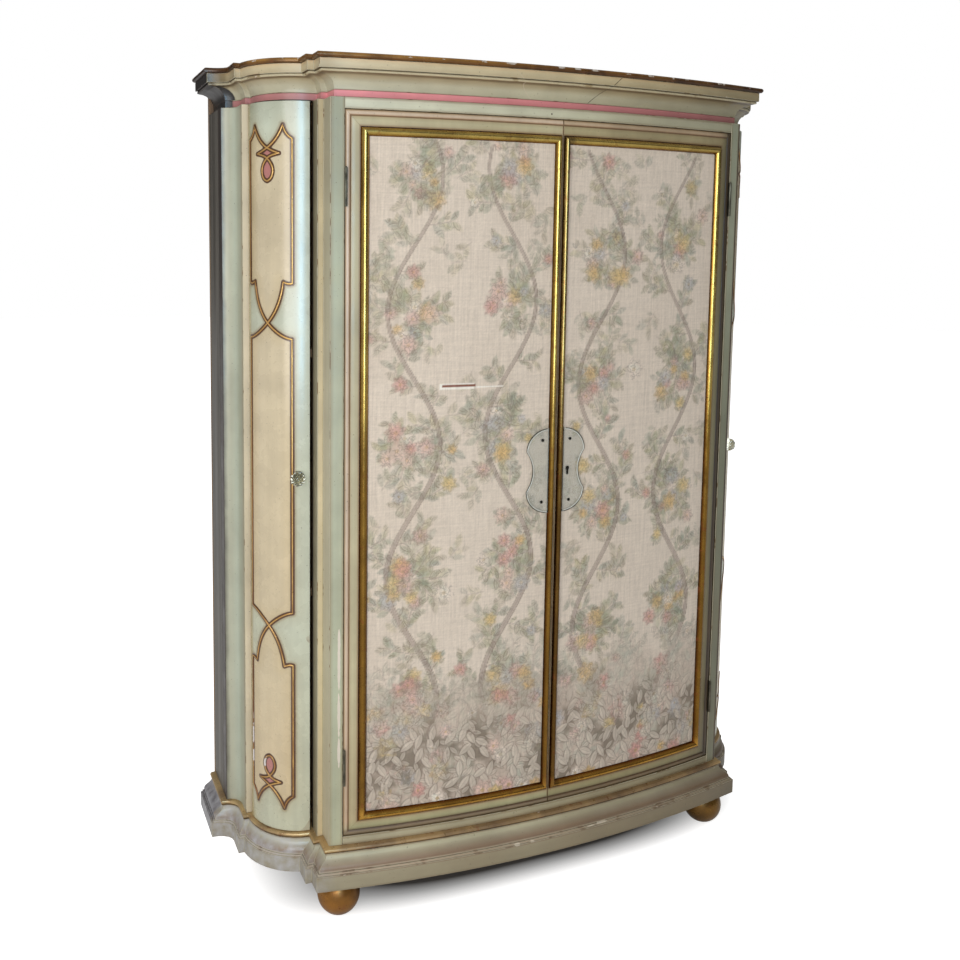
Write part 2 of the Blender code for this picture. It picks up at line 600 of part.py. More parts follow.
gilt_rows = []
for i in range(9):
    angle = math.pi * i / 8
    share = (1 - math.cos(angle)) / 2
    widths = (GILT_WIDTH, GILT_MEETING_WIDTH, GILT_WIDTH, GILT_WIDTH)
    gilt_rows.append((tuple(s + w * share for s, w in zip(seat, widths)),
                      gilt_base + GILT_HEIGHT * math.sin(angle)))
plate_edge = DOOR_MEETING + seat[1] + GILT_MEETING_WIDTH + CLEARANCE
plate_back = -LINEN_SETBACK + CLEARANCE


def on_front(x, z, offset):
    return (*bow(x, offset), z)


def plate_outline():
    """The violin outline of the left plate half, as (reach, height) from its straight edge."""
    upper = []
    for i in range(PLATE_STEPS):
        z = PLATE_CUSP * i / PLATE_STEPS
        upper.append((PLATE_WAIST + (PLATE_LOBE - PLATE_WAIST) * (z / PLATE_CUSP) ** 2, z))
    for i in range(PLATE_STEPS + 1):
        angle = 0.5 * math.pi * i / PLATE_STEPS
        upper.append((PLATE_LOBE * math.cos(angle),
                      PLATE_CUSP + (PLATE_HALF_HEIGHT - PLATE_CUSP) * math.sin(angle)))
    lower = [(reach, -z) for reach, z in reversed(upper[1:])]
    return lower + upper


def plate():
    rows = []
    for offset in (plate_back, plate_back + PLATE_THICKNESS):
        rows.append([on_front(-plate_edge - reach, PLATE_CENTRE_Z + z, offset) for reach, z in plate_outline()])
    return grid(rows, False, True)


def across(shape, x, z, offset):
    """Stand a turned shape on the bowed front, its axis pointing out of the face."""
    angle = math.asin(x / BOW_RADIUS)
    cx, cy = bow(x, offset)
    points, faces = shape
    out = (math.sin(angle), -math.cos(angle))
    along = (math.cos(angle), math.sin(angle))
    return [(cx + px * along[0] + pz * out[0], cy + px * along[1] + pz * out[1], z + py)
            for px, py, pz in points], faces


screw_x = -plate_edge - PLATE_SCREW_X
hole = [(0, -PLATE_THICKNESS), (SCREW_HOLE, -PLATE_THICKNESS), (SCREW_HOLE, 2 * PLATE_THICKNESS),
        (0, 2 * PLATE_THICKNESS)]
holes = [across(lathe(hole, ROUND), screw_x, PLATE_CENTRE_Z + z, plate_back)
         for z in (-PLATE_SCREW_Z, PLATE_SCREW_Z)]
doors = {}
for side, sign, turn in (("left", -1, lambda shape: shape), ("right", 1, mirrored)):
    pivot = empty(side + "_door_pivot", (sign * front_axis[0], front_axis[1], 0.0), cabinet)
    doors[side] = pivot
    frame = bow_ring(-DOOR_EDGE, -DOOR_MEETING, DOOR_BOTTOM, DOOR_TOP, frame_rows)
    place(side + "_door_frame", SAGE, pivot, turn(frame), smooth=20)
    x0 = -DOOR_EDGE + seat[0]
    x1 = -DOOR_MEETING - seat[1]
    z0 = DOOR_BOTTOM + seat[2]
    z1 = DOOR_TOP - seat[3]
    place(side + "_door_panel", WOOD, pivot, turn(bow_block(x0, x1, panel_front, -REBATE + CLEARANCE, z0, z1)))
    place(side + "_door_linen", LINEN, pivot, turn(bow_block(x0, x1, -LINEN_SETBACK, linen_back, z0, z1)))
    gilt = bow_ring(-DOOR_EDGE, -DOOR_MEETING, DOOR_BOTTOM, DOOR_TOP, gilt_rows)
    place(side + "_door_gilt_frame", GILT, pivot, turn(gilt), smooth=60)
    push_plate = place(side + "_push_plate", CLEAR, pivot, turn(plate()))
    boolean(push_plate, "DIFFERENCE", side + "_plate.holes", *[turn(shape) for shape in holes])
    axis = (sign * front_axis[0], front_axis[1])
    for end, z in hinge_heights.items():
        hinge_leaf(side + "_" + end + "_hinge_door_leaf", pivot, axis, -sign, z, [(1 / 3, 2 / 3)], False)
        hinge_leaf(side + "_" + end + "_hinge_post_leaf", cabinet, axis, sign, z, [(0, 1 / 3), (2 / 3, 1)], True)
    if side == "right":
        keyhole = [(0, -PLATE_THICKNESS), (KEYHOLE_RADIUS, -PLATE_THICKNESS),
                   (KEYHOLE_RADIUS, 2 * PLATE_THICKNESS), (0, 2 * PLATE_THICKNESS)]
        eye = across(lathe(keyhole, ROUND), plate_edge + KEYHOLE_X, PLATE_CENTRE_Z, plate_back)
        slot = across(box(-KEYHOLE_SLOT / 2, KEYHOLE_SLOT / 2, -KEYHOLE_LENGTH, 0.0, -PLATE_THICKNESS,
                          2 * PLATE_THICKNESS), plate_edge + KEYHOLE_X, PLATE_CENTRE_Z, plate_back)
        boolean(push_plate, "DIFFERENCE", "right_plate.keyhole_eye", eye)
        boolean(push_plate, "DIFFERENCE", "right_plate.keyhole_slot", slot)

# Lock: a rim lock behind the right door, its bolt and the keeper behind the left door.
rear = -DOOR_THICKNESS - CLEARANCE
lock_x = DOOR_MEETING + LOCK_EDGE
lock_y = bow(lock_x + LOCK_WIDTH, rear)[1]
bolt_y = lock_y + (LOCK_DEPTH - LOCK_BOLT_DEPTH) / 2


def lock_block(x0, x1, y, depth, height):
    """A block behind the meeting edges of the doors, at the height of the lock."""
    return box(x0, x1, y, y + depth, PLATE_CENTRE_Z - height / 2, PLATE_CENTRE_Z + height / 2)


def bolt_pocket(x0, x1):
    """Room for the lock bolt to run in."""
    return lock_block(x0, x1, bolt_y - RUNNING_CLEARANCE, LOCK_BOLT_DEPTH + 2 * RUNNING_CLEARANCE,
                      LOCK_BOLT_HEIGHT + 2 * RUNNING_CLEARANCE)


bolt_nose = lock_x + CLEARANCE
bolt_tail = bolt_nose + LOCK_BOLT_LENGTH
lock = place("lock_case", BRASS, doors["right"],
             lock_block(lock_x, lock_x + LOCK_WIDTH, lock_y, LOCK_DEPTH, LOCK_HEIGHT))
boolean(lock, "DIFFERENCE", "lock_case.slot", bolt_pocket(lock_x - LOCK_EDGE, bolt_tail + RUNNING_CLEARANCE))
hinge = doors["right"].location
bolt_pivot = empty("lock_bolt_pivot", (bolt_nose - hinge.x, bolt_y - hinge.y, PLATE_CENTRE_Z), doors["right"])
place("lock_bolt", BRASS, bolt_pivot,
      lock_block(bolt_nose, bolt_tail, bolt_y, LOCK_BOLT_DEPTH, LOCK_BOLT_HEIGHT))
pocket_end = bolt_nose - LOCK_THROW - BOLT_ROOM
keeper = place("lock_keeper", BRASS, doors["left"],
               lock_block(pocket_end - KEEPER_WALL, -lock_x, lock_y, LOCK_DEPTH,
                          LOCK_BOLT_HEIGHT + 4 * KEEPER_WALL))
boolean(keeper, "DIFFERENCE", "lock_keeper.pocket", bolt_pocket(pocket_end, LOCK_EDGE))

# Top bolt of the left door: a rod in a guide, shot up into the top rail.
guide_y = bow(-BOLT_X - BOLT_GUIDE_WIDTH / 2, rear)[1]
rod_y = guide_y + BOLT_GUIDE_DEPTH / 2
rod_top = DOOR_TOP - BOLT_TOP_DROP
guide_top = DOOR_TOP - BOLT_GUIDE_DROP
guide = place("left_bolt_guide", BRASS, doors["left"],
              box(-BOLT_X - BOLT_GUIDE_WIDTH / 2, -BOLT_X + BOLT_GUIDE_WIDTH / 2, guide_y, guide_y + BOLT_GUIDE_DEPTH,
                  guide_top - BOLT_GUIDE_HEIGHT, guide_top))
bore_radius = BOLT_RADIUS + RUNNING_CLEARANCE
bore = [(0, -BOLT_LENGTH), (bore_radius, -BOLT_LENGTH), (bore_radius, BOLT_LENGTH), (0, BOLT_LENGTH)]
boolean(guide, "DIFFERENCE", "left_bolt_guide.bore", moved(lathe(bore, ROUND), (-BOLT_X, rod_y, guide_top)))
rod_low = rod_top - BOLT_LENGTH
rod = [(0.0, rod_low)]
for i in range(1, 6):
    angle = math.pi * (i / 6 - 0.5)
    rod.append((BOLT_BALL_RADIUS * math.cos(angle), rod_low + BOLT_BALL_RADIUS * (1 + math.sin(angle))))
rod += [(BOLT_RADIUS, rod_low + 2 * BOLT_BALL_RADIUS), (BOLT_RADIUS, rod_top), (0.0, rod_top)]
hinge = doors["left"].location
rod_pivot = empty("left_bolt_pivot", (-BOLT_X - hinge.x, rod_y - hinge.y, rod_top), doors["left"])
place("left_door_bolt", BRASS, rod_pivot, moved(lathe(rod, ROUND), (-BOLT_X, rod_y, 0.0)), smooth=40)
mortise = BOLT_RADIUS + BOLT_ROOM
boolean(top_rail, "DIFFERENCE", "front_top_rail.mortise",
        box(-BOLT_X - mortise, -BOLT_X + mortise, rod_y - mortise, rod_y + mortise,
            DOOR_TOP, rod_top + BOLT_THROW + BOLT_ROOM))

# Corner doors: quarter-round shells on pivot pins at the rear, with a knob near the front edge.
pivot_radius = CORNER_RADIUS - PIVOT_INSET
pivot_x = CORNER_CENTRE_X + math.sqrt(pivot_radius ** 2 - PIVOT_SETBACK ** 2)
pivot_y = CORNER_CENTRE_Y - PIVOT_SETBACK
rounding = PIVOT_SETBACK - ROUNDING_GAP
lead_x = FILLET_X + CORNER_DOOR_GAP


def corner_arc(radius):
    """An arc of the corner door, from its leading edge to where the rear rounding takes over."""
    first = math.asin((lead_x - CORNER_CENTRE_X) / radius)
    cosine = (pivot_radius ** 2 + radius ** 2 - rounding ** 2) / (2 * pivot_radius * radius)
    last = math.acos(PIVOT_SETBACK / pivot_radius) + math.acos(min(cosine, 1.0))
    angles = [first + (last - first) * i / CORNER_STEPS for i in range(CORNER_STEPS + 1)]
    return [(-CORNER_CENTRE_X - radius * math.sin(a), CORNER_CENTRE_Y - radius * math.cos(a)) for a in angles]


outer_arc = corner_arc(CORNER_RADIUS)
inner_arc = corner_arc(CORNER_RADIUS - CORNER_DOOR_THICKNESS)
start = math.atan2(outer_arc[-1][1] - pivot_y, outer_arc[-1][0] + pivot_x)
stop = math.atan2(inner_arc[-1][1] - pivot_y, inner_arc[-1][0] + pivot_x)
round_end = []
for i in range(1, 5):
    angle = start + (stop - start) * i / 5
    round_end.append((-pivot_x + rounding * math.cos(angle), pivot_y + rounding * math.sin(angle)))
corner_outline = outer_arc + round_end + inner_arc[::-1]
knob = [(0, CLEARANCE), (ROSE_RADIUS, CLEARANCE), (ROSE_RADIUS, ROSE_HEIGHT / 2), (KNOB_NECK, ROSE_HEIGHT)]
ball_middle = KNOB_LENGTH - KNOB_RADIUS
for i in range(2, 9):
    angle = math.pi * (i / 9 - 0.5)
    knob.append((KNOB_RADIUS * math.cos(angle), ball_middle + KNOB_RADIUS * math.sin(angle)))
knob.append((0, KNOB_LENGTH))


def on_corner(shape):
    """Stand a turned shape on the left corner door at the knob's place."""
    out = (-math.sin(KNOB_ANGLE), -math.cos(KNOB_ANGLE))
    along = (-out[1], out[0])
    cx = -CORNER_CENTRE_X + CORNER_RADIUS * out[0]
    cy = CORNER_CENTRE_Y + CORNER_RADIUS * out[1]
    points, faces = shape
    return [(cx + px * along[0] + pz * out[0], cy + px * along[1] + pz * out[1], KNOB_Z + py)
            for px, py, pz in points], faces


pin_seats = {"lower": (FLOOR_TOP + CLEARANCE, CORNER_DOOR_BOTTOM + PIVOT_DEPTH),
             "upper": (CORNER_DOOR_TOP - PIVOT_DEPTH, FRIEZE_BOTTOM)}
pivot_bore = PIVOT_PIN + CLEARANCE
for side, sign, turn in (("left", -1, lambda shape: shape), ("right", 1, mirrored)):
    axis = (sign * pivot_x, pivot_y)
    pivot = empty(side + "_corner_pivot", (*axis, 0.0), cabinet)
    door = place(side + "_corner_door", SAGE, pivot,
                 turn(prism(corner_outline, CORNER_DOOR_BOTTOM, CORNER_DOOR_TOP)), smooth=30)
    place(side + "_knob", CLEAR, pivot, turn(on_corner(lathe(knob, KNOB_SIDES))), smooth=60)
    for end, (low, high) in pin_seats.items():
        pin = [(0, low), (PIVOT_PIN, low), (PIVOT_PIN, high), (0, high)]
        place(side + "_corner_pin_" + end, BRASS, cabinet, moved(lathe(pin, ROUND), (*axis, 0.0)))
        bore = [(0, low - CLEARANCE), (pivot_bore, low - CLEARANCE), (pivot_bore, high + CLEARANCE),
                (0, high + CLEARANCE)]
        boolean(door, "DIFFERENCE", side + "_corner_door.bore_" + end, moved(lathe(bore, ROUND), (*axis, 0.0)))
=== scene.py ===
import json
import math

import bmesh
import bpy
import numpy as np
from mathutils import Matrix, Vector

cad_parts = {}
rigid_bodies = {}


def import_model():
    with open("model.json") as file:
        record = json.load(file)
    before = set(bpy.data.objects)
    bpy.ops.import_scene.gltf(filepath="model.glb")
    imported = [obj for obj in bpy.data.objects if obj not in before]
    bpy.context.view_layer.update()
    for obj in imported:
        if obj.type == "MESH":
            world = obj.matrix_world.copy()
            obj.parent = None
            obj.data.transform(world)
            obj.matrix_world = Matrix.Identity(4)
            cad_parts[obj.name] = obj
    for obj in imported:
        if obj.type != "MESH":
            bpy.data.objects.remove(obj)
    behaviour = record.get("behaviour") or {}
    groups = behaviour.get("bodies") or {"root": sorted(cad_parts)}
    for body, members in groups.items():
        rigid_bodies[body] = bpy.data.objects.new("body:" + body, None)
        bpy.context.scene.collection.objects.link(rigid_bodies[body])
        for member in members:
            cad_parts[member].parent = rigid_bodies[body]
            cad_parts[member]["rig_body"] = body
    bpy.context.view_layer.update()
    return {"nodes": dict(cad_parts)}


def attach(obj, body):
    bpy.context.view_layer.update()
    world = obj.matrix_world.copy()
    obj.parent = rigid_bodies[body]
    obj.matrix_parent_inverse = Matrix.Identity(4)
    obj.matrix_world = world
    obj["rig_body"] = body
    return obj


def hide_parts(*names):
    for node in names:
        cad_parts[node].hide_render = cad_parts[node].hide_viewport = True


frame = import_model()

# Ball feet: four turned wooden balls, bronzed and rubbed, each dowelled under the plinth.
# One ball is flattened where it stands and where it meets the plinth, then set on four points.
foot_radius, foot_middle, foot_top = 0.046, 0.040, 0.0742
foot_places = [(sign * x, y, foot_middle) for x, y in ((0.480, -0.14875), (0.600, 0.17125)) for sign in (-1, 1)]
as_is = (255, 255, 255)
bole, fly_speck, bare_ground = (128, 70, 40), (70, 46, 24), (222, 212, 198)


def srgb(red, green, blue):
    """A colour as it is seen, 0 to 255, turned into the linear colour that a shader takes."""
    def linear(value):
        value /= 255
        return value / 12.92 if value <= 0.04045 else ((value + 0.055) / 1.055) ** 2.4
    return linear(red), linear(green), linear(blue), 1.0


class Value:
    """What a node gives. Reckoning with it adds nodes to its tree."""

    def __init__(self, socket):
        self.socket = socket
        self.tree = socket.id_data

    def calc(self, operation, *others):
        return add(self.tree, "ShaderNodeMath", dict(enumerate((self, *others))), operation=operation)[0]

    def __add__(self, other):
        return self.calc("ADD", other)

    def __sub__(self, other):
        return self.calc("SUBTRACT", other)

    def __mul__(self, other):
        return self.calc("MULTIPLY", other)

    def __truediv__(self, other):
        return self.calc("DIVIDE", other)

    def __abs__(self):
        return self.calc("ABSOLUTE")

    def axes(self):
        """Its X, Y and Z."""
        return add(self.tree, "ShaderNodeSeparateXYZ", {0: self})

    def length(self):
        return add(self.tree, "ShaderNodeVectorMath", {0: self}, operation="LENGTH")["Value"]

    def scaled(self, tone):
        """A colour made lighter or darker."""
        return add(self.tree, "ShaderNodeVectorMath", {0: self, "Scale": tone}, operation="SCALE")[0]

    def spread(self, low, high, to_low=0.0, to_high=1.0):
        """Itself taken from one range to another, and held at its ends."""
        return add(self.tree, "ShaderNodeMapRange", {0: self, 1: low, 2: high, 3: to_low, 4: to_high})[0]

    def between(self, low, high, edge):
        """One inside a range and nothing outside it, with soft edges."""
        return self.spread(low - edge, low) * self.spread(high, high + edge, 1.0, 0.0)

    def noise(self, scale, detail=3.0, stretch=None):
        """Noise over a place."""
        where = add(self.tree, "ShaderNodeMapping", {"Vector": self, "Scale": stretch})[0] if stretch else self
        return add(self.tree, "ShaderNodeTexNoise", {"Vector": where, "Scale": scale, "Detail": detail})[0]

    def bands(self, stops):
        """Colours at places along it, in metres or shares, running into each other."""
        low, high = stops[0][0], stops[-1][0]
        ramp = add(self.tree, "ShaderNodeValToRGB", {0: self.spread(low, high)})
        elements = ramp.node.color_ramp.elements
        elements.remove(elements[1])
        elements[0].position = 0.0
        elements[0].color = srgb(*stops[0][1])
        for at, colour in stops[1:]:
            elements.new((at - low) / (high - low)).color = srgb(*colour)
        return ramp[0]


class Outputs:
    """What a new node gives, by name or number."""

    def __init__(self, node):
        self.node = node

    def __getitem__(self, key):
        return Value(self.node.outputs[key])


def put(node, inputs):
    """Sets a node's inputs, each to a number, a colour or what another node gives."""
    for key, value in inputs.items():
        if isinstance(value, Value):
            value.tree.links.new(value.socket, node.inputs[key])
        else:
            node.inputs[key].default_value = value


def add(tree, kind, inputs=None, **settings):
    """A new node with its settings and inputs."""
    node = tree.nodes.new(kind)
    for key, value in settings.items():
        setattr(node, key, value)
    put(node, inputs or {})
    return Outputs(node)


def joined(x, y, z=0.0):
    return add(x.tree, "ShaderNodeCombineXYZ", {0: x, 1: y, 2: z})[0]


def mix(share, first, second, blend="MIX"):
    """A share of the second colour over the first; a colour is a value or as it is seen."""
    tree = next(value.tree for value in (share, first, second) if isinstance(value, Value))
    first, second = (colour if isinstance(colour, Value) else srgb(*colour) for colour in (first, second))
    return add(tree, "ShaderNodeMix", {0: share, 6: first, 7: second}, data_type="RGBA", blend_type=blend)[2]


def bump(height, strength, distance):
    return add(height.tree, "ShaderNodeBump", {"Strength": strength, "Distance": distance, "Height": height})[0]


def surface(where, name):
    """An attribute of the mesh as a value."""
    return add(where.tree, "ShaderNodeAttribute", attribute_name=name)["Fac"]


def finish(name):
    """A new material and the piece's own coordinates in it."""
    material = bpy.data.materials.new(name)
    material.use_nodes = True
    return material, add(material.node_tree, "ShaderNodeTexCoord")["Object"]


def coated(material, colour, rough, inputs):
    """The material with its shader's colour, roughness and other inputs."""
    put(material.node_tree.nodes["Principled BSDF"], {"Base Color": colour, "Roughness": rough, **inputs})
    return material


def gilding(name, leaf, toned, tones, rubbed, metal, worn=(), rough=(0.24, 0.46)):
    """Old gilding: leaf over red bole, toned with umber and rubbed in patches."""
    material, where = finish(name)
    axes = where.axes()
    colour = mix(where.noise(17.0, 6.0).spread(0.36, 0.66) * rubbed, leaf, toned)
    # Tones multiply the gilding along an axis or attribute; several pieces use them for painted shade and light.
    for value, stops in tones:
        value = axes[value] if value in "XYZ" else surface(where, value)
        colour = mix(1.0, colour, value.bands(stops), "MULTIPLY")
    colour = mix(where.noise(60.0, 4.0).spread(0.60, 0.70, 0.0, 0.45), colour, bole)
    colour = mix(where.noise(330.0, 2.0).spread(0.66, 0.72, 0.0, 0.7), colour, fly_speck)
    for axis, low, high, share in worn:
        flake = where.noise(38.0, 5.0).spread(0.70 - 0.3 * share, 0.73 - 0.3 * share)
        colour = mix(axes[axis].between(low, high, 0.001) * flake, colour, bare_ground)
    return coated(material, colour, where.noise(45.0, 4.0).spread(0.3, 0.7, *rough),
                  {"Metallic": metal, "Normal": bump(where.noise(140.0), 0.25, 0.0006)})


def maker(name, **inputs):
    """An empty tree of Geometry Nodes with named inputs, and what it is given."""
    tree = bpy.data.node_groups.new(name, "GeometryNodeTree")
    tree.interface.new_socket("Geometry", in_out="INPUT", socket_type="NodeSocketGeometry")
    for label, kind in inputs.items():
        tree.interface.new_socket(label, in_out="INPUT", socket_type="NodeSocket" + kind)
    tree.interface.new_socket("Finish", in_out="INPUT", socket_type="NodeSocketMaterial")
    tree.interface.new_socket("Geometry", in_out="OUTPUT", socket_type="NodeSocketGeometry")
    return tree, add(tree, "NodeGroupInput")


def ended(tree, geometry, coat):
    """Ends a tree of Geometry Nodes with plain mesh in its finish."""
    geometry = add(tree, "GeometryNodeRealizeInstances", {0: geometry})[0]
    geometry = add(tree, "GeometryNodeSetMaterial", {"Geometry": geometry, "Material": coat})[0]
    add(tree, "NodeGroupOutput", {0: geometry})


def shown(name, mesh):
    piece = bpy.data.objects.new(name, mesh)
    bpy.context.scene.collection.objects.link(piece)
    return piece


def grown(name, tree, points, edges=(), **sizes):
    """The plain mesh that a tree makes from a few seed points, as a piece."""
    seed = bpy.data.meshes.new(name + "_seed")
    seed.from_pydata(points, edges, [])
    holder = shown(name + "_holder", seed)
    modifier = holder.modifiers.new("maker", "NODES")
    modifier.node_group = tree
    for item in tree.interface.items_tree:
        if item.in_out == "INPUT" and item.name in sizes:
            modifier[item.identifier] = sizes[item.name]
    graph = bpy.context.evaluated_depsgraph_get()
    made = holder.evaluated_get(graph)
    mesh = bpy.data.meshes.new_from_object(made, preserve_all_data_layers=True, depsgraph=graph)
    holder.modifiers.remove(modifier)
    bpy.data.objects.remove(holder)
    return shown(name, mesh)


# The bronze is painted darker on the right-hand feet, as painted shade.
bronzed = gilding("bronzed_ball", (152, 102, 36), (84, 56, 22),
                  [("X", [(-0.6, as_is), (0.3, (234, 238, 226)), (0.6, (206, 228, 222))])], rubbed=0.75, metal=0.5)
foot_maker, given = maker("ball_foot_maker", Radius="Float", Foot="Float", Neck="Float")
ball = add(foot_maker, "GeometryNodeMeshUVSphere", {"Segments": 56, "Rings": 40, "Radius": given["Radius"]})[0]
place = add(foot_maker, "GeometryNodeInputPosition")[0].axes()
level = place["Z"].calc("MAXIMUM", given["Foot"]).calc("MINIMUM", given["Neck"])
ball = add(foot_maker, "GeometryNodeSetPosition",
           {"Geometry": ball, "Position": joined(place["X"], place["Y"], level)})[0]
ball = add(foot_maker, "GeometryNodeSetShadeSmooth", {0: ball})[0]
balls = add(foot_maker, "GeometryNodeInstanceOnPoints", {"Points": given["Geometry"], "Instance": ball})[0]
ended(foot_maker, balls, given["Finish"])
feet = grown("ball_feet", foot_maker, foot_places, Radius=foot_radius, Foot=-foot_middle, Neck=foot_top - foot_middle,
             Finish=bronzed)
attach(feet, "carcass")
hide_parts("foot_front_left", "foot_front_right", "foot_rear_left", "foot_rear_right")

# Plinth: a moulded skirt of painted wood with a plain fascia, two small steps and an ogee.
# It is brushed in sage, glazed with thin brown, chipped along its edges and dusty on its ledges.
umber_glaze, gesso, paint_speck = (116, 96, 66), (224, 214, 198), (78, 60, 40)
lying_dust, bloom_and_painted_reflection = (192, 186, 178), (190, 190, 194)
brown_stain, edge_stain, edge_stain_from = ((44, 36, 31), (64, 54, 47)), (58, 47, 40), 0.095


def aged_paint(name, along, stops, fades=(), behind=None, stained=brown_stain, chips=(), marks=(), inlay=(),
               dust=0.0, glaze=0.3, brushed=(4.0, 70.0, 70.0), rough=(0.38, 0.56), coat=0.12, wobble=0.0012):
    """Old oil paint in bands along an axis or attribute, with glaze, brush marks, specks, chips and dust."""
    material, where = finish(name)
    axes = where.axes()
    value = axes[along] if along in "XYZ" else surface(where, along)
    drift = where.noise(28.0) * wobble - wobble / 2
    colour = (value + drift).bands(stops)
    # Fades multiply the paint along an axis; most pieces use them for painted shade.
    for axis, tones in fades:
        colour = mix(1.0, colour, axes[axis].bands(tones), "MULTIPLY")
    colour = mix(where.noise(3.4, 7.0).spread(0.44, 0.70, 0.0, glaze), colour, umber_glaze)
    mottle = where.noise(13.0, 6.0).spread(0.28, 0.72, 0.90, 1.09)
    brush = where.noise(1.0, 4.0, brushed)
    colour = colour.scaled(mottle * brush.spread(0.25, 0.75, 0.94, 1.06))
    for attribute, paint, soft in inlay:
        colour = mix((surface(where, attribute) + drift).spread(-soft, soft), colour, paint)
    if behind is not None:
        stain = mix(brush.spread(0.3, 0.7), *stained)
        colour = mix((axes["Y"] + drift).spread(behind - 0.001, behind + 0.001), colour, stain)
    colour = mix(where.noise(240.0, 2.0).spread(0.70, 0.76, 0.0, 0.55), colour, paint_speck)
    flake = where.noise(62.0, 6.0)
    for axis, low, high, share, paint, soft in chips:
        gone = flake.spread(0.72 - 0.3 * share - soft, 0.74 - 0.3 * share + soft)
        colour = mix(axes[axis].between(low, high, 0.0015 + 0.25 * soft) * gone, colour, paint)
    for middle, reach, slope, paint in marks:
        lean = (axes["Z"] - middle[2]) * -slope + axes["X"]
        away = [(place - at) / half for place, at, half in zip((lean, axes["Y"], axes["Z"]), middle, reach)]
        ragged = flake * 1.2 + joined(*away).length()
        colour = mix(ragged.spread(1.5, 1.6, 1.0, 0.0), colour, paint)
    if dust:
        upward = add(where.tree, "ShaderNodeNewGeometry")["Normal"].axes()["Z"]
        lying = upward.spread(0.6, 0.95, 0.0, dust) * where.noise(20.0, 5.0).spread(0.3, 0.6, 0.3, 1.0)
        colour = mix(lying, colour, lying_dust)
    return coated(material, colour, where.noise(26.0, 5.0).spread(0.3, 0.7, *rough),
                  {"Coat Weight": coat, "Coat Roughness": 0.22,
                   "Normal": bump(brush + where.noise(190.0) * 0.5, 0.12, 0.0008)})


def rubbed_edge(name, paint):
    """The arris of a painted piece, rubbed through to brown wood and gesso, and stained dark at the ends."""
    material, where = finish(name)
    patch = where.noise(34.0, 7.0)
    colour = patch.bands([(0.30, paint), (0.56, paint), (0.63, umber_glaze), (0.70, umber_glaze), (0.74, gesso),
                          (0.85, gesso)])
    stained = where.axes()["Y"].spread(edge_stain_from - 0.001, edge_stain_from + 0.001)
    return coated(material, mix(stained, colour, edge_stain), patch.spread(0.3, 0.7, 0.4, 0.7), {})


def smoothed(mesh, angle):
    """Shades a mesh smooth up to an angle between its faces."""
    mesh.shade_smooth()
    mesh.set_sharp_from_angle(angle=math.radians(angle))


def dressed(node, coat, arris=None, width=0.0008, angle=35.0):
    """A CAD piece carried over with merged points, eased edges and its real finish."""
    source = frame["nodes"][node]
    mesh = bpy.data.meshes.new(node + "_dressed")
    mesh.from_pydata([v.co for v in source.data.vertices], [], [tuple(p.vertices) for p in source.data.polygons])
    shape = bmesh.new()
    shape.from_mesh(mesh)
    bmesh.ops.remove_doubles(shape, verts=shape.verts, dist=1e-6)
    bmesh.ops.join_triangles(shape, faces=shape.faces, angle_face_threshold=math.radians(0.5),
                             angle_shape_threshold=math.radians(180.0))
    shape.to_mesh(mesh)
    shape.free()
    mesh.materials.append(coat)
    mesh.materials.append(arris or coat)
    smoothed(mesh, angle)
    piece = shown(node + "_dressed", mesh)
    eased = piece.modifiers.new("eased_edge", "BEVEL")
    eased.width = width
    eased.segments = 2
    eased.limit_method = "ANGLE"
    eased.angle_limit = math.radians(angle)
    eased.material = 1
    eased.harden_normals = True
    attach(piece, source["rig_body"])
    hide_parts(node)
    return piece


sage_arris = rubbed_edge("rubbed_sage_edge", (186, 180, 154))
# The ogee is painted lighter at its top and browner at its foot as painted highlight and shade, and the paint darkens
# towards the right as painted shade.
plinth_paint = aged_paint(
    "plinth_paint", "Z",
    [(0.0745, (140, 128, 104)), (0.080, (158, 150, 126)), (0.104, (164, 156, 132)), (0.1075, (140, 122, 102)),
     (0.1085, (196, 180, 162)), (0.1112, (186, 170, 152)), (0.1122, (122, 102, 82)), (0.1130, (194, 178, 160)),
     (0.1160, (136, 116, 96)), (0.1180, (146, 124, 103)), (0.1225, (158, 140, 117)), (0.1275, (178, 170, 146)),
     (0.132, (202, 200, 174)), (0.137, (200, 198, 173)), (0.141, (150, 134, 110))],
    fades=[("X", [(-0.66, as_is), (-0.30, (250, 246, 238)), (0.10, (240, 234, 224)), (0.42, (212, 206, 196)),
                  (0.52, (180, 174, 166)), (0.72, (168, 162, 156))])],
    behind=0.110, stained=((96, 92, 96), (128, 124, 130)), dust=0.16, glaze=0.4, coat=0.2,
    # The pale lavender patches on the left curve are bloom and painted reflection.
    chips=[("Z", 0.1365, 0.142, 0.08, gesso, 0.0), ("X", -0.72, -0.57, 0.62, bloom_and_painted_reflection, 0.28)],
    marks=[(middle, (wide, 0.02, tall), 0.0, gesso) for middle, wide, tall in (
        ((-0.093, -0.238, 0.109), 0.007, 0.0024), ((-0.055, -0.239, 0.109), 0.006, 0.002),
        ((0.098, -0.237, 0.110), 0.012, 0.0013), ((0.128, -0.236, 0.111), 0.015, 0.0016))])
dressed("plinth_moulding", plinth_paint, sage_arris, 0.0012)

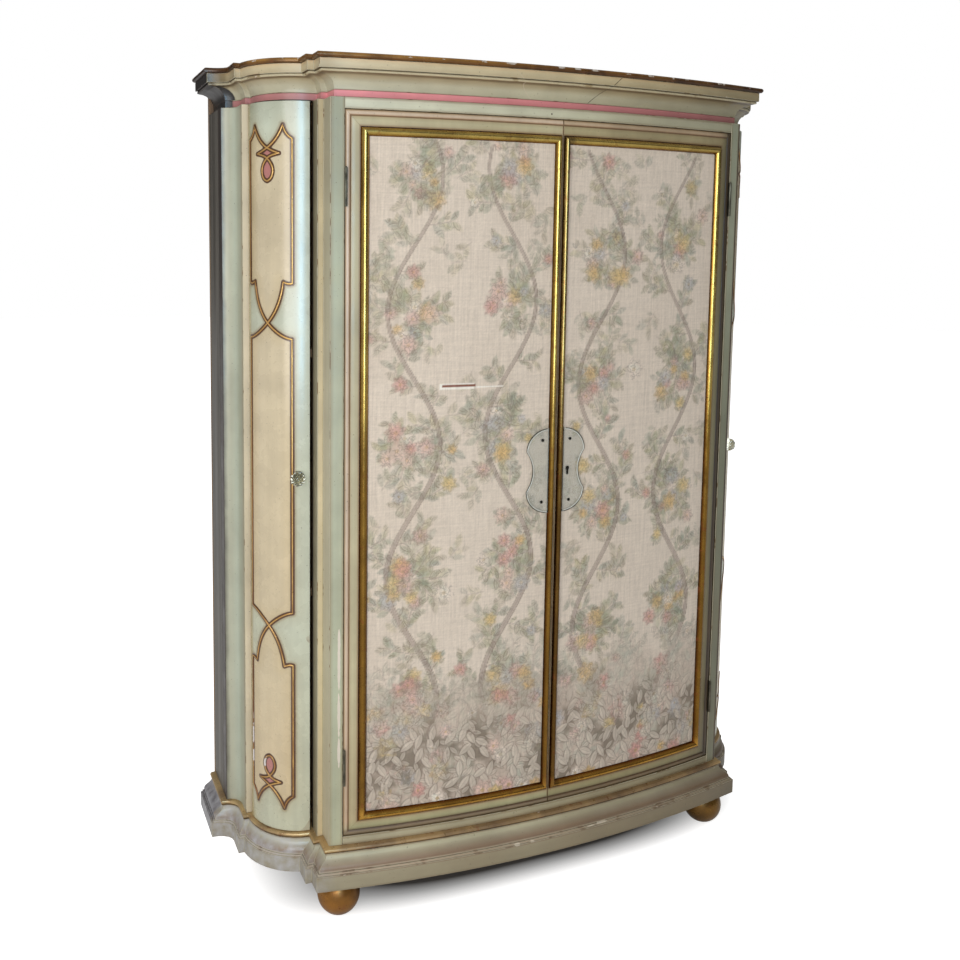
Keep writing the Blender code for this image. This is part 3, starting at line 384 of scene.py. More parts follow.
# Gilt bead: a half-round strip of gilded wood lying on the plinth, under posts and doors.
# It is rubbed brown, brighter on the rounded corners, with bare gesso patches along the front; it is painted darker
# towards the right and on its underside as painted shade.
bead_gilt = gilding(
    "bead_gilding", (210, 184, 138), (134, 114, 92),
    [("X", [(-0.66, (255, 250, 235)), (-0.52, (255, 245, 225)), (-0.48, (228, 218, 210)), (0.48, (196, 186, 176)),
            (0.52, (235, 225, 205)), (0.66, (235, 225, 205))]),
     ("Z", [(0.1413, (150, 140, 124)), (0.1458, (150, 140, 124)), (0.1480, as_is), (0.152, as_is)])],
    rubbed=0.8, metal=0.35, worn=[("X", -0.10, -0.02, 0.2)])
dressed("plinth_gilt_bead", bead_gilt, None, 0.0005, 50.0)

# Carcass: front pilasters with a return and a cream fillet, rear posts with a hollow, front rails.
# All are painted softwood, glued and pegged; the hollow's back edge is where the dark stained end begins.
sides = (("left", -1), ("right", 1))
upright_brush = (70.0, 70.0, 3.0)
# The front's paint is darker towards the right, and a little at the left corner, as painted shade; side_shade makes
# the right side's paint darker, also painted shade.
front_painted_shade = ("X", [(-0.52, (236, 236, 236)), (-0.49, as_is), (-0.2, (250, 248, 244)), (0.2, (228, 224, 214)),
                    (0.52, (188, 185, 175))])
side_shade = {"left": 1.0, "right": 0.84}
pilaster_face = [(0.4765, (128, 112, 84)), (0.4778, (176, 172, 142)), (0.482, (194, 200, 174)),
                 (0.496, (194, 202, 178))]
# The right pilaster's outer edge is painted dark as painted shade; the left one has a brown glaze line there.
pilaster_edge_and_shade = {"left": [(0.5025, (184, 182, 154)), (0.5038, (150, 132, 100))],
                 "right": [(0.4985, (188, 190, 164)), (0.5008, (100, 88, 72)), (0.5038, (88, 76, 60))]}
pilaster_return = [(0.5046, (204, 200, 176)), (0.5056, (204, 200, 176)), (0.5060, (150, 128, 94)),
                   (0.5072, (234, 218, 178)), (0.5160, (238, 224, 186)), (0.5176, (158, 138, 106)),
                   (0.5182, (156, 150, 126)), (0.5195, (156, 150, 126))]
# Tones by height, painted shade: the left pilaster is darker towards its top and foot, the right one below 1.4 m.
pilaster_painted_shade = {"left": [(0.15, (242, 236, 228)), (0.5, (252, 252, 248)), (1.0, as_is), (1.4, (230, 228, 222)),
                           (1.72, (220, 218, 212))],
                  "right": [(0.15, (206, 200, 192)), (0.5, (198, 194, 186)), (1.0, (204, 200, 192)),
                            (1.4, (250, 248, 244)), (1.72, (255, 255, 252))]}
# Behind the corner door's leading edge the pilaster is painted near black, painted shade in the gap.
pilaster_gap_painted_shade = ("Y", [(-0.16, as_is), (-0.089, (250, 250, 250)), (-0.082, (30, 26, 20)), (-0.05, (24, 20, 16))])
pilaster_chips = {"left": [("X", -0.487, -0.481, 0.13, gesso, 0.0)], "right": []}
flaking = {"left": [((-0.4850, -0.165, z), (0.0032, 0.02, tall), 0.0, gesso)
                    for z, tall in ((0.36, 0.035), (0.44, 0.05), (0.55, 0.06), (0.60, 0.03))], "right": []}
hollow = [(0.0240, (150, 128, 96)), (0.0255, (226, 214, 184)), (0.0270, (226, 214, 184)), (0.0282, (140, 118, 86)),
          (0.0310, (170, 160, 132)), (0.045, (176, 176, 154)), (0.066, (182, 186, 164)), (0.082, (190, 197, 178)),
          (0.0945, (184, 184, 162))]


def darkened(stops, shade, sign=1):
    """Stops of paint, mirrored for their side and darkened by its shade."""
    return sorted((sign * at, tuple(int(c * shade) for c in paint)) for at, paint in stops)


for side, sign in sides:
    stops = darkened(pilaster_face + pilaster_edge_and_shade[side] + pilaster_return, side_shade[side], sign)
    post_paint = aged_paint(side + "_pilaster_paint", "X", stops, brushed=upright_brush, chips=pilaster_chips[side],
                            wobble=0.0006, fades=[("Z", pilaster_painted_shade[side]), pilaster_gap_painted_shade], marks=flaking[side])
    dressed("pilaster_" + side, post_paint, sage_arris, 0.0010)
    hollow_paint = aged_paint(side + "_rear_post_paint", "Y", darkened(hollow, side_shade[side]), behind=0.0957,
                              brushed=upright_brush, coat=0.2)
    dressed("rear_post_" + side, hollow_paint, sage_arris, 0.0010)
# The rails' paint darkens towards the right as painted shade.
rail_paint = aged_paint(
    "front_rail_paint", "Z",
    [(0.152, (150, 132, 104)), (0.156, (182, 174, 146)), (0.1655, (184, 178, 150)), (0.170, (140, 120, 90)),
     (1.6975, (150, 132, 104)), (1.6986, (216, 218, 194)), (1.712, (224, 228, 206)), (1.7190, (214, 208, 184)),
     (1.7203, (150, 132, 106))],
    fades=[front_painted_shade], glaze=0.2, marks=[((-0.0293, -0.2033, 1.7068), (0.0016, 0.004, 0.002), 0.0, (60, 46, 36))])
for node in ("front_bottom_rail", "front_top_rail"):
    dressed(node, rail_paint, sage_arris)

# Flat ends: plain boards behind the rear posts, stained dark grey-brown and waxed.
# Their grain runs upright and their edges are rubbed.


def wood(name, grain, pale, deep, gloss):
    """Plain boards with grain along one way, darker late rings and fine pores."""
    material, where = finish(name)
    warp = where.noise(1.0, 3.0, tuple(g * 0.16 for g in grain))
    figure = where.noise(1.0, 6.0, grain)
    rings = (warp * 9.0 + figure * 1.4).calc("FRACT")
    colour = mix(abs(rings - 0.5).spread(0.2, 0.5), pale, deep)
    pores = where.noise(1.0, 2.0, tuple(g * 9.0 for g in grain)).spread(0.60, 0.68, 0.0, 0.5)
    colour = mix(pores, colour, [int(c * 0.55) for c in deep])
    colour = colour.scaled(where.noise(2.6, 5.0).spread(0.3, 0.7, 0.86, 1.1))
    return coated(material, colour, figure.spread(0.3, 0.7, gloss - 0.1, gloss + 0.12),
                  {"Normal": bump(figure, 0.2, 0.0005)})


stained_end = wood("stained_end", (30.0, 30.0, 1.6), (104, 99, 91), (80, 75, 67), 0.45)
end_arris = rubbed_edge("rubbed_stained_edge", (78, 70, 64))
for side, _ in sides:
    dressed("end_panel_" + side, stained_end, end_arris, 0.0012)

# Inside boards: bottom, top, partitions, back and shelves of plain pine, planed and left bare inside.
# The shelves are housed in the partitions; the back is a thin board nailed over the rear.
pine_upright = wood("pine_upright", (26.0, 26.0, 1.3), (182, 148, 106), (140, 104, 66), 0.6)
pine_across = wood("pine_across", (1.3, 26.0, 26.0), (184, 150, 108), (142, 106, 68), 0.6)
back_board = wood("back_board", (24.0, 24.0, 1.1), (150, 120, 86), (112, 84, 56), 0.65)
for node in ("partition_left", "partition_right"):
    dressed(node, pine_upright)
dressed("back_panel", back_board)
shelves = ["middle_shelf_%d" % i for i in (1, 2, 3)]
shelves += ["%s_corner_shelf_%d" % (side, i) for side, _ in sides for i in (1, 2)]
for node in ["bottom_board", "top_board"] + shelves:
    dressed(node, pine_across, None, 0.0010)

# Frieze band and cornice: a pink fillet, then a cove, a small cream bead and a fascia, all in wood.
# A scarf joint in the cornice has opened right of the middle, and another shows as a pale seam.
# The frieze's and cornice's returns behind the corners are painted near black, a dark end with painted shade.
dark_end_and_painted_shade = ((22, 18, 15), (38, 31, 27))
# The pink is painted darker towards the right as painted shade, and darker and greener on the left corner.
frieze_paint = aged_paint(
    "frieze_paint", "Z",
    [(1.7203, (84, 58, 44)), (1.7214, (96, 66, 52)), (1.7222, (238, 146, 152)), (1.733, (250, 156, 164)),
     (1.735, (188, 118, 112))],
    fades=[("X", [(-0.66, (188, 206, 194)), (-0.515, (194, 210, 200)), (-0.49, as_is), (-0.1, (240, 244, 240)),
                  (0.5, (166, 176, 164))])],
    behind=0.094, stained=dark_end_and_painted_shade, glaze=0.08)
dressed("frieze_band", frieze_paint, None, 0.0005)
# The cornice is painted darker towards the right and strongly at its left end, which faces away from the light, as
# painted shade.
cornice_paint = aged_paint(
    "cornice_paint", "Z",
    [(1.735, (162, 146, 116)), (1.7375, (204, 202, 176)), (1.750, (208, 206, 180)), (1.761, (196, 184, 150)),
     (1.7638, (112, 90, 58)), (1.7648, (236, 218, 174)), (1.7690, (238, 220, 176)), (1.7700, (112, 90, 60)),
     (1.7715, (208, 194, 158)), (1.780, (222, 210, 174)), (1.7865, (232, 210, 168)), (1.789, (216, 182, 138))],
    fades=[front_painted_shade, ("X", [(-0.71, (70, 62, 54)), (-0.690, (128, 120, 104)), (-0.668, (170, 162, 146)),
                              (-0.655, (254, 250, 246)), (-0.52, (254, 250, 244)), (-0.50, as_is)])],
    behind=0.090, stained=dark_end_and_painted_shade, glaze=0.26, coat=0.2, chips=[("Z", 1.7685, 1.7712, 0.05, gesso, 0.0)],
    marks=[((0.1150, -0.2200, 1.7800), (0.0009, 0.2, 0.2), 1.15, (34, 26, 22)),
           ((-0.1230, -0.2200, 1.7800), (0.0007, 0.2, 0.2), -1.1, (206, 194, 170))])
dressed("cornice_moulding", cornice_paint, sage_arris)
# The gilt edge is painted darker at its left end, towards the right and low on its rounding, as painted shade.
top_gilt = gilding(
    "top_edge_gilding", (188, 148, 84), (96, 68, 40),
    [("Z", [(1.789, (150, 132, 112)), (1.7925, (180, 160, 135)), (1.797, (255, 240, 215)), (1.800, (255, 246, 230))]),
     ("X", [(-0.71, (110, 98, 88)), (-0.668, (150, 136, 124)), (-0.655, as_is), (-0.40, (250, 245, 235)),
            (0.0, (215, 205, 195)), (0.5, (165, 158, 150))])],
    rubbed=0.8, metal=0.35, worn=[("Z", 1.7955, 1.801, 0.42)])
dressed("cornice_gilt_edge", top_gilt, None, 0.0010, 50.0)

# Front doors, the frames: each a bowed frame with a rounded outer strip, a fine groove and a flat margin.
# Stiles and rails are mitred, painted sage and glazed brown in the groove and along the edges.
front_half, bow_depth, front_line = 0.505, 0.045, -0.15875
bow_radius = (front_half ** 2 + bow_depth ** 2) / (2 * bow_depth)
bow_middle = front_line + bow_radius - bow_depth
door_edge, door_meeting = 0.4735, 0.001
door_bottom, door_top = 0.1731, 1.6945
lip_side, lip_top, lip_meeting = 0.029, 0.031, 0.0012
stile_width, meeting_width = 0.055, 0.045
door_depth, rebate = 0.026, 0.0105
mitre_line, door_swell = 0.0009, 0.0016


def on_bow(x, offset, z):
    """A point of the bowed front at x on its face, moved out by an offset."""
    turn = math.asin(x / bow_radius)
    radius = bow_radius + offset
    return radius * math.sin(turn), bow_middle - radius * math.cos(turn), z


def between_rings(rings, size, closed=False):
    """The faces between rings of points, and also from the last ring to the first where they close."""
    faces = []
    for r in range(rings if closed else rings - 1):
        first, second = r * size, (r + 1) % rings * size
        for c in range(size):
            after = (c + 1) % size
            faces.append((first + c, first + after, second + after, second + c))
    return faces


def solid(name, points, faces, coats, angle=None, outwards=True):
    """A closed piece with its faces turned outwards, its finishes and shading that is smooth up to an angle."""
    mesh = bpy.data.meshes.new(name)
    mesh.from_pydata(points, [], faces)
    if outwards:
        shape = bmesh.new()
        shape.from_mesh(mesh)
        bmesh.ops.recalc_face_normals(shape, faces=shape.faces)
        shape.to_mesh(mesh)
        shape.free()
    for coat in coats:
        mesh.materials.append(coat)
    if angle:
        smoothed(mesh, angle)
    return shown(name, mesh)


def stored(piece, name, values):
    """Keeps a value for each point of a piece."""
    piece.data.attributes.new(name, "FLOAT", "POINT").data.foreach_set("value", values)


def bowed_ring(name, sign, loops, coat, columns=28):
    """A closed frame on a door: each loop is four insets from the door's outline, an offset and a value."""
    points, values, mitres = [], [], []
    for hinge, meeting, bottom, top, offset, value in loops:
        outer, inner = -door_edge + hinge, -door_meeting - meeting
        low, high = door_bottom + bottom, door_top - top
        along = [outer + mitre_line + (inner - outer - 2 * mitre_line) * i / columns for i in range(columns + 1)]
        path = [(outer, low)] + [(x, low) for x in along]
        path += [(inner, low), (inner, low + mitre_line), (inner, high - mitre_line), (inner, high)]
        path += [(x, high) for x in reversed(along)]
        path += [(outer, high), (outer, high - mitre_line), (outer, low + mitre_line)]
        points += [on_bow(sign * -x, offset, z) for x, z in path]
        values += [value] * len(path)
        mitres += [0.4 if (x in (outer, inner) and z in (low, high)) else -1.0 for x, z in path]
    ring = solid(name, points, between_rings(len(loops), 2 * columns + 10, True), [coat], 48.0)
    stored(ring, "across", values)
    stored(ring, "mitre", mitres)
    return ring


strip_section = [(-door_swell / lip_side, -0.0026), (0.0, -0.0012), (0.07, -0.0003), (0.15, 0.0), (0.24, -0.0004),
                 (0.30, -0.0014), (0.325, -0.0022), (0.35, -0.0014), (0.38, -0.0010), (0.70, -0.0010), (1.00, -0.0010)]
frame_loops = [(s * lip_side, s * lip_meeting, s * lip_side, s * lip_top, offset, s) for s, offset in strip_section]
frame_loops += [(lip_side, lip_meeting, lip_side, lip_top, -rebate, 1.02),
                (stile_width, meeting_width, stile_width, stile_width, -rebate, 1.1),
                (stile_width, meeting_width, stile_width, stile_width, -door_depth, 1.2),
                (-door_swell, -0.0002, -door_swell, -door_swell, -door_depth, -0.2)]
door_bands = [(-0.20, (168, 156, 128)), (-0.055, (150, 126, 96)), (0.0, (190, 166, 138)), (0.08, (224, 206, 186)),
              (0.20, (220, 200, 180)), (0.27, (170, 140, 112)), (0.325, (112, 84, 58)), (0.355, (168, 148, 116)),
              (0.40, (194, 184, 152)), (0.60, (204, 200, 168)), (0.85, (200, 192, 160)), (0.97, (160, 134, 98)),
              (1.0, (104, 76, 48)), (1.2, (150, 128, 98))]
# The frames are painted darker low down, most along the bottom strip, and a little high up, as painted shade; the
# right door is painted darker towards its right, most on its outer strip, also painted shade.
door_painted_shade = ("Z", [(0.170, (152, 146, 128)), (0.1815, (152, 146, 128)), (0.1845, (214, 216, 196)),
                   (0.188, (214, 216, 196)), (0.205, (240, 228, 212)), (0.5, (250, 246, 238)), (1.0, (255, 255, 252)),
                   (1.45, (236, 234, 228)), (1.655, (236, 234, 228)), (1.67, (255, 252, 244))])
right_door_painted_shade = ("X", [(0.0, (236, 232, 222)), (0.40, (220, 214, 202)), (0.444, (198, 190, 176)),
                    (0.4575, (156, 155, 141)), (0.4615, (154, 152, 137)), (0.4635, (82, 76, 60)),
                    (0.4735, (78, 72, 58))])
door_painted_shades = {"left": [door_painted_shade], "right": [door_painted_shade, right_door_painted_shade]}
for side, sign in sides:
    door_paint = aged_paint(side + "_door_paint", "across", door_bands, fades=door_painted_shades[side], wobble=0.03,
                            brushed=(60.0, 60.0, 4.0), inlay=[("mitre", (112, 90, 66), 0.5)])
    ring = bowed_ring(side + "_door_frame_dressed", sign, frame_loops, door_paint)
    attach(ring, side + "_door")
    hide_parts(side + "_door_frame")
    dressed(side + "_door_panel", pine_upright, None, 0.0003)

# Printed linen: one cloth glued and stretched over each door's panel, held by the gilt moulding.
# The faded print has winding vines with sprays of leaves and posies, above a border of pale leaves.
linen_outer, linen_inner = 0.4442, 0.0025
linen_bottom, linen_top = 0.2024, 1.6632
linen_face, linen_back = -0.0027, -0.0039
threads_across, threads_up = 165, 576
linen_ground = (224, 211, 195)
leaf_greens = [(176, 174, 144), (156, 164, 136), (148, 158, 144), (188, 182, 136), (164, 156, 128), (138, 146, 126)]
pale_leaves = [(222, 210, 194), (200, 198, 180), (190, 190, 172), (206, 194, 178), (176, 182, 168)]
bark, ink, taupe = (160, 144, 134), (118, 102, 92), (188, 170, 155)
hollow_brown, tea_stain = (122, 110, 94), (176, 156, 132)
blossoms = [(212, 178, 168), (218, 190, 176), (216, 190, 132), (230, 216, 202), (214, 178, 120), (204, 156, 146),
            (186, 184, 184)]
blossom_heart = (190, 162, 112)
vine_foot, vine_short, vine_step = 0.14, 0.16, 0.006
twig_step, posy_aside, posy_parts = 0.010, 0.055, 9
loose_sprays, border_touches = 70, 120
border_top, border_fade, border_leaves = 0.30, 0.14, 0.28
full_turn = 2 * math.pi


def faded_print(width, height, seed, vines, tears):
    """The print of one cloth, touch by touch: a wash of colour, leaf lines and petal lines for each point."""
    chance = np.random.default_rng(seed)
    across, up = np.meshgrid(np.linspace(0, width, threads_across + 1), np.linspace(0, height, threads_up + 1))
    paint = np.zeros((threads_up + 1, threads_across + 1, 5))
    paint[..., :3] = np.array(linen_ground) / 255

    def touch(x, y, length, breadth, turn, colour, strength, leafy=0.0, petal=0.0):
        """One touch of colour, pointed at both ends, and the lines drawn over it."""
        reach = length / 2 + 0.003
        columns = slice(*(max(int((x + s * reach) / width * threads_across) + s + 1, 0) for s in (-1, 1)))
        rows = slice(*(max(int((y + s * reach) / height * threads_up) + s + 1, 0) for s in (-1, 1)))
        dx, dy = across[rows, columns] - x, up[rows, columns] - y
        ahead = (dx * math.cos(turn) + dy * math.sin(turn)) / (length / 2)
        aside = (dy * math.cos(turn) - dx * math.sin(turn)) / (breadth / 2)
        cover = np.clip((1.0 - ahead ** 2 - np.abs(aside)) * 2.2, 0, 1)
        part = paint[rows, columns]
        part[..., :3] += strength * cover[..., None] * (np.array(colour) / 255 - part[..., :3])
        part[..., 3] = np.maximum(part[..., 3] * (1 - cover * petal), cover * leafy)
        part[..., 4] = np.maximum(part[..., 4], cover * petal)

    def blossom(x, y, size, strength):
        """Two rings of petals around a heart."""
        tint = np.array(blossoms[chance.integers(len(blossoms))])
        first = chance.uniform(0, full_turn)
        for ring, petals, light in ((0.32, 7, 0.95), (0.16, 5, 1.06)):
            for petal in range(petals):
                turn = first + petal * full_turn / petals
                shade = np.minimum(tint * light * chance.uniform(0.95, 1.05), 240)
                touch(x + size * ring * math.cos(turn), y + size * ring * math.sin(turn), size * 0.55, size * 0.42,
                      turn, shade, strength, 0.0, 0.9)
        touch(x, y, size * 0.26, size * 0.26, 0.0, blossom_heart, strength)

    def spray(x, y, turn, length, strength, tones=leaf_greens):
        """A twig that bends, with a loose wash of leaves on both sides."""
        bend = chance.uniform(-6.0, 6.0)
        for _ in range(int(length / twig_step)):
            x, y, turn = x + twig_step * math.cos(turn), y + twig_step * math.sin(turn), turn + bend * twig_step
            touch(x, y, 0.017, 0.0036, turn, bark, strength)
            for way in (-1, 1):
                lean, size = turn + way * chance.uniform(0.4, 1.1), chance.uniform(0.022, 0.040)
                tone = tones[chance.integers(len(tones))]
                touch(x + size * 0.5 * math.cos(lean), y + size * 0.5 * math.sin(lean), size, size * 0.5, lean,
                      tone, strength * chance.uniform(0.4, 0.9), min(1.0, 2.0 * strength))
        return x, y

    def branch(x, y, turn, way, strength):
        """A spray at one side of a vine, which may go on and may end in a blossom."""
        x, y = spray(x, y, turn + way * chance.uniform(0.6, 1.3), chance.uniform(0.03, 0.08), strength)
        if chance.random() < 0.55:
            spray(x, y, turn - way * chance.uniform(0.2, 1.0), chance.uniform(0.03, 0.05), strength * 0.8)
        if chance.random() < 0.6:
            blossom(x, y, chance.uniform(0.020, 0.040), strength * 0.9)

    def posy(x, y, strength):
        for _ in range(posy_parts):
            spray(x, y, chance.uniform(0, full_turn), chance.uniform(0.03, 0.075), strength * 0.9)
        for _ in range(posy_parts):
            blossom(x + chance.normal(0, 0.028), y + chance.normal(0, 0.034), chance.uniform(0.022, 0.048),
                    strength * 0.8)

    for foot, sway, waves, first in vines:
        for i in range(int((height - vine_short) / vine_step)):
            share = i * vine_step / height
            phase = waves * math.pi * share + first
            x, y = width * (foot + sway * math.sin(phase)), vine_foot + i * vine_step
            turn = math.atan2(height, width * sway * waves * math.pi * math.cos(phase))
            wide, strength = 0.012 - 0.007 * share, 0.50 - 0.14 * share
            touch(x, y, 0.018, wide * 1.25, turn, bark, strength * 0.8)
            for edge, dark in ((-1, 0.8), (1, 0.55)):
                touch(x - edge * 0.5 * wide * math.sin(turn), y + edge * 0.5 * wide * math.cos(turn), 0.016, 0.0030,
                      turn, ink, strength * dark)
            if i % 8 == 4:
                branch(x, y, turn, 1 if i % 16 == 4 else -1, strength)
            if abs(math.cos(phase)) < 0.5 * waves * math.pi * vine_step / height:
                posy(x - posy_aside * math.copysign(1.0, math.sin(phase)), y, strength)
    for _ in range(loose_sprays):
        x, y, turn = chance.uniform(0, width), chance.uniform(border_leaves, height), chance.uniform(0, full_turn)
        spray(x, y, turn, chance.choice((0.022, 0.032, 0.045)), 0.27)
    border = np.clip((border_top + 0.015 * np.sin(across / width * 25.0) - up) / border_fade, 0, 1)
    paint[..., :3] += 0.72 * border[..., None] * (np.array(taupe) / 255 - paint[..., :3])
    paint[..., 3] = np.maximum(paint[..., 3], border)
    for level in np.sort(chance.uniform(0.0, border_leaves, border_touches))[::-1]:
        x, turn = chance.uniform(0, width), math.pi / 2 + chance.normal(0, 0.5)
        if chance.random() < 0.6:
            spray(x, level, turn, chance.uniform(0.04, 0.09), 0.42 - 0.5 * level, pale_leaves)
        else:
            blossom(x, level, chance.uniform(0.026, 0.052), 0.72 - 0.9 * level)
    for x0, x1, y, colour, thick in tears:
        paint[(np.abs(up - y) < thick) & (across > x0) & (across < x1)] = [c / 255 for c in colour] + [0.0, 0.0]
    slub = chance.normal(0, 0.003, (1, threads_across + 1, 1))
    slub = slub + chance.normal(0, 0.011, (threads_up + 1, threads_across + 1, 1))
    shade = np.clip(paint[..., :3] + slub, 0.05, 0.98)
    paint[..., :3] = ((shade + 0.055) / 1.055) ** 2.4
    return paint


def drawn_leaves(flat_place, scale, lean):
    """Leaves with a midrib and one shaded half, scattered at random turns: the lines, and the inside."""
    tree = flat_place.tree
    cell = add(tree, "ShaderNodeTexVoronoi", {"Vector": flat_place, "Scale": scale}, voronoi_dimensions="2D")
    local = add(tree, "ShaderNodeVectorMath", {0: flat_place, 1: cell["Position"]}, operation="SUBTRACT")[0]
    angle = add(tree, "ShaderNodeSeparateColor", {0: cell["Color"]})[0].spread(0.0, 1.0, -lean, lean)
    local = add(tree, "ShaderNodeVectorRotate", {"Vector": local, "Angle": angle}, rotation_type="Z_AXIS")[0].axes()
    aside, along = abs(local["X"]), local["Y"] * (1.6 * scale)
    depth = aside * (-4.0 * scale) + 1.0 - along * along
    inside = depth.spread(0.0, 0.15)
    edge = abs(depth).spread(0.0, 0.34, 1.0, 0.0)
    rib = inside * aside.spread(0.0, 0.0013, 0.8, 0.0)
    shaded_half = inside * local["X"].spread(0.0, 0.001, 0.0, 0.3)
    return edge.calc("MAXIMUM", rib.calc("MAXIMUM", shaded_half)), inside


linen, where = finish("printed_linen")
printed = add(where.tree, "ShaderNodeAttribute", attribute_name="print")
threads = where.noise(1.0, 3.0, (270.0, 270.0, 16.0)) * 0.6 + where.noise(1.0, 3.0, (18.0, 18.0, 290.0)) * 0.4
cloth = printed["Color"].scaled(threads.spread(0.32, 0.68, 0.89, 1.10))
axes = where.axes()
flat_place = joined(axes["X"], axes["Z"])
in_border, above = axes["Z"].spread(0.36, 0.52, 1.0, 0.0), axes["Z"].spread(0.36, 0.52)
hollows = where.noise(15.0).spread(0.47, 0.58, 0.0, 0.8) * in_border
cloth = mix(hollows * printed["Alpha"], cloth, hollow_brown)
for scale, lean, strength, place, fill in ((40.0, 1.4, 0.52, above, 0.0), (66.0, 3.1, 0.42, above, 0.0),
                                           (46.0, 3.1, 0.44, in_border, 0.48), (30.0, 1.1, 0.46, in_border, 0.62)):
    lines, inside = drawn_leaves(flat_place, scale, lean)
    share = place * printed["Alpha"]
    if fill:
        cloth = mix(inside * fill * share, cloth, pale_leaves[0])
    cloth = mix(lines * strength * share, cloth, ink)
curl = abs(where.noise(110.0, 1.5) - 0.5)
cloth = mix(curl.spread(0.0, 0.07, 0.5, 0.0) * surface(where, "petals"), cloth, ink)
cloth = mix(where.noise(4.5, 5.0).spread(0.52, 0.75, 0.0, 0.14), cloth, tea_stain)
coated(linen, cloth, threads.spread(0.3, 0.7, 0.95, 0.78),
       {"Sheen Weight": 0.12, "Sheen Roughness": 0.5, "Normal": bump(threads, 0.28, 0.0004)})
row = threads_across + 1
grid = np.arange(row * (threads_up + 1)).reshape(-1, row)
rim = np.concatenate([grid[0], grid[1:, -1], grid[-1, -2::-1], grid[-2:0:-1, 0]]).tolist()
back, around = grid.size, len(rim)
back_top = back + row + threads_up
linen_faces = np.stack([grid[:-1, :-1], grid[:-1, 1:], grid[1:, 1:], grid[1:, :-1]], -1).reshape(-1, 4).tolist()
linen_faces += [(rim[i], back + i, back + (i + 1) % around, rim[(i + 1) % around]) for i in range(around)]
linen_faces += [(back + c + 1, back + c, back_top + row - 2 - c, back_top + row - 3 - c)
                for c in range(1, threads_across - 1)]
linen_faces += [(back + 1, back, *[back + around - 1 - i for i in range(threads_up - 1)], back_top + row - 2,
                 back_top + row - 3),
                (back + row - 1, back + row - 2, back_top, *[back_top - 1 - i for i in range(threads_up)])]
print_vines = {"left": [(0.26, 0.13, 5.2, 0.4), (0.75, 0.13, 5.2, 3.3)],
               "right": [(0.25, 0.13, 5.2, 2.2), (0.74, 0.13, 5.2, 5.1)]}
print_seed = {"left": 7, "right": 19}
print_tears = {"left": [(x0 + linen_outer, x1 + linen_outer, z - linen_bottom, colour, thick)
                        for x0, x1, z, colour, thick in ((-0.274, -0.197, 1.1330, (248, 243, 232), 0.0055),
                                                         (-0.270, -0.195, 1.1335, (138, 88, 72), 0.0027),
                                                         (-0.195, -0.1305, 1.1300, (248, 243, 234), 0.0016))],
               "right": []}
for side, sign in sides:
    low_x, high_x = sorted((sign * linen_outer, sign * linen_inner))
    xs = np.linspace(low_x, high_x, row)
    zs = np.linspace(linen_bottom, linen_top, threads_up + 1)
    points = [on_bow(x, linen_face, z) for z in zs for x in xs]
    points += [on_bow(xs[i % row], linen_back, zs[i // row]) for i in rim]
    colours = faded_print(high_x - low_x, linen_top - linen_bottom, print_seed[side], print_vines[side],
                          print_tears[side]).reshape(-1, 5)
    colours = np.concatenate([colours, colours[rim]])
    cloth_piece = solid(side + "_linen", points, linen_faces, [linen], 50.0, outwards=False)
    cloth_piece.data.attributes.new("print", "FLOAT_COLOR", "POINT").data.foreach_set("color", colours[:, :4].ravel())
    stored(cloth_piece, "petals", colours[:, 4].copy())
    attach(cloth_piece, side + "_door")
    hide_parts(side + "_door_linen")

# Gilt mouldings: a half-round gilded frame, mitred, pinned over the edge of each cloth.
# The crest is burnished; both flanks are toned with umber, with a reddish line along the outer side.
seat, gilt_steps = 0.0003, 14
gilt_width, gilt_meeting, gilt_height, gilt_base = 0.0185, 0.016, 0.0100, -0.0024
gilt_loops = []
for u in (i / gilt_steps for i in range(gilt_steps + 1)):
    reach, narrow = seat + u * gilt_width, seat + u * gilt_meeting
    rise = gilt_base + gilt_height * math.sin(math.pi * u) ** 0.72
    gilt_loops.append((lip_side + reach, lip_meeting + narrow, lip_side + reach, lip_top + reach, rise, u))
# Below about 1.2 m the gilding is painted darker, least on the bottom rail, as painted shade where no reflection
# reaches; the right door's strip beside the meeting is painted darker as painted shade.
moulding_gilt = gilding(
    "moulding_gilding", (206, 182, 106), (124, 100, 56),
    [("across", [(0.0, (120, 66, 44)), (0.06, (176, 130, 92)), (0.16, (240, 232, 218)), (0.50, (255, 252, 245)),
                 (0.78, (232, 220, 194)), (0.92, (172, 142, 108)), (1.0, (104, 76, 54))]),
     ("Z", [(0.17, (236, 206, 170)), (0.218, (236, 206, 170)), (0.235, (176, 152, 122)), (0.60, (170, 148, 118)),
            (0.95, (192, 172, 142)), (1.22, as_is)]),
     ("X", [(-0.002, as_is), (0.0015, (192, 190, 206)), (0.022, (192, 190, 206)), (0.03, as_is)])],
    rubbed=0.45, metal=0.9, rough=(0.16, 0.34))
for side, sign in sides:
    ring = bowed_ring(side + "_gilt_moulding", sign, gilt_loops, moulding_gilt)
    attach(ring, side + "_door")
    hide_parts(side + "_door_gilt_frame")

# Push plates: clear plastic in two halves, cut to a violin outline, each with two dark screws.
# The right half has a keyhole; a thin dark lining, painted shade, stands for the hole seen through the plate. Pale
# edges are painted highlight, dark side faces painted shade.
plate_front, plate_middle, plate_edge = 0.0016, 0.939, 0.0188
plate_lobe, plate_waist, plate_cusp, plate_half = 0.0530, 0.0375, 0.0447, 0.0940
rim_start, rim_sunk = plate_edge + 0.0010, plate_front - 0.0003
screw_x, screw_z, screw_foot, slot_length = 0.0343, 0.0686, -0.0004, 0.02
key_x, key_z = 0.0298, plate_middle + 0.004
key_radius, key_half, key_foot = 0.0038, 0.0021, -0.0145


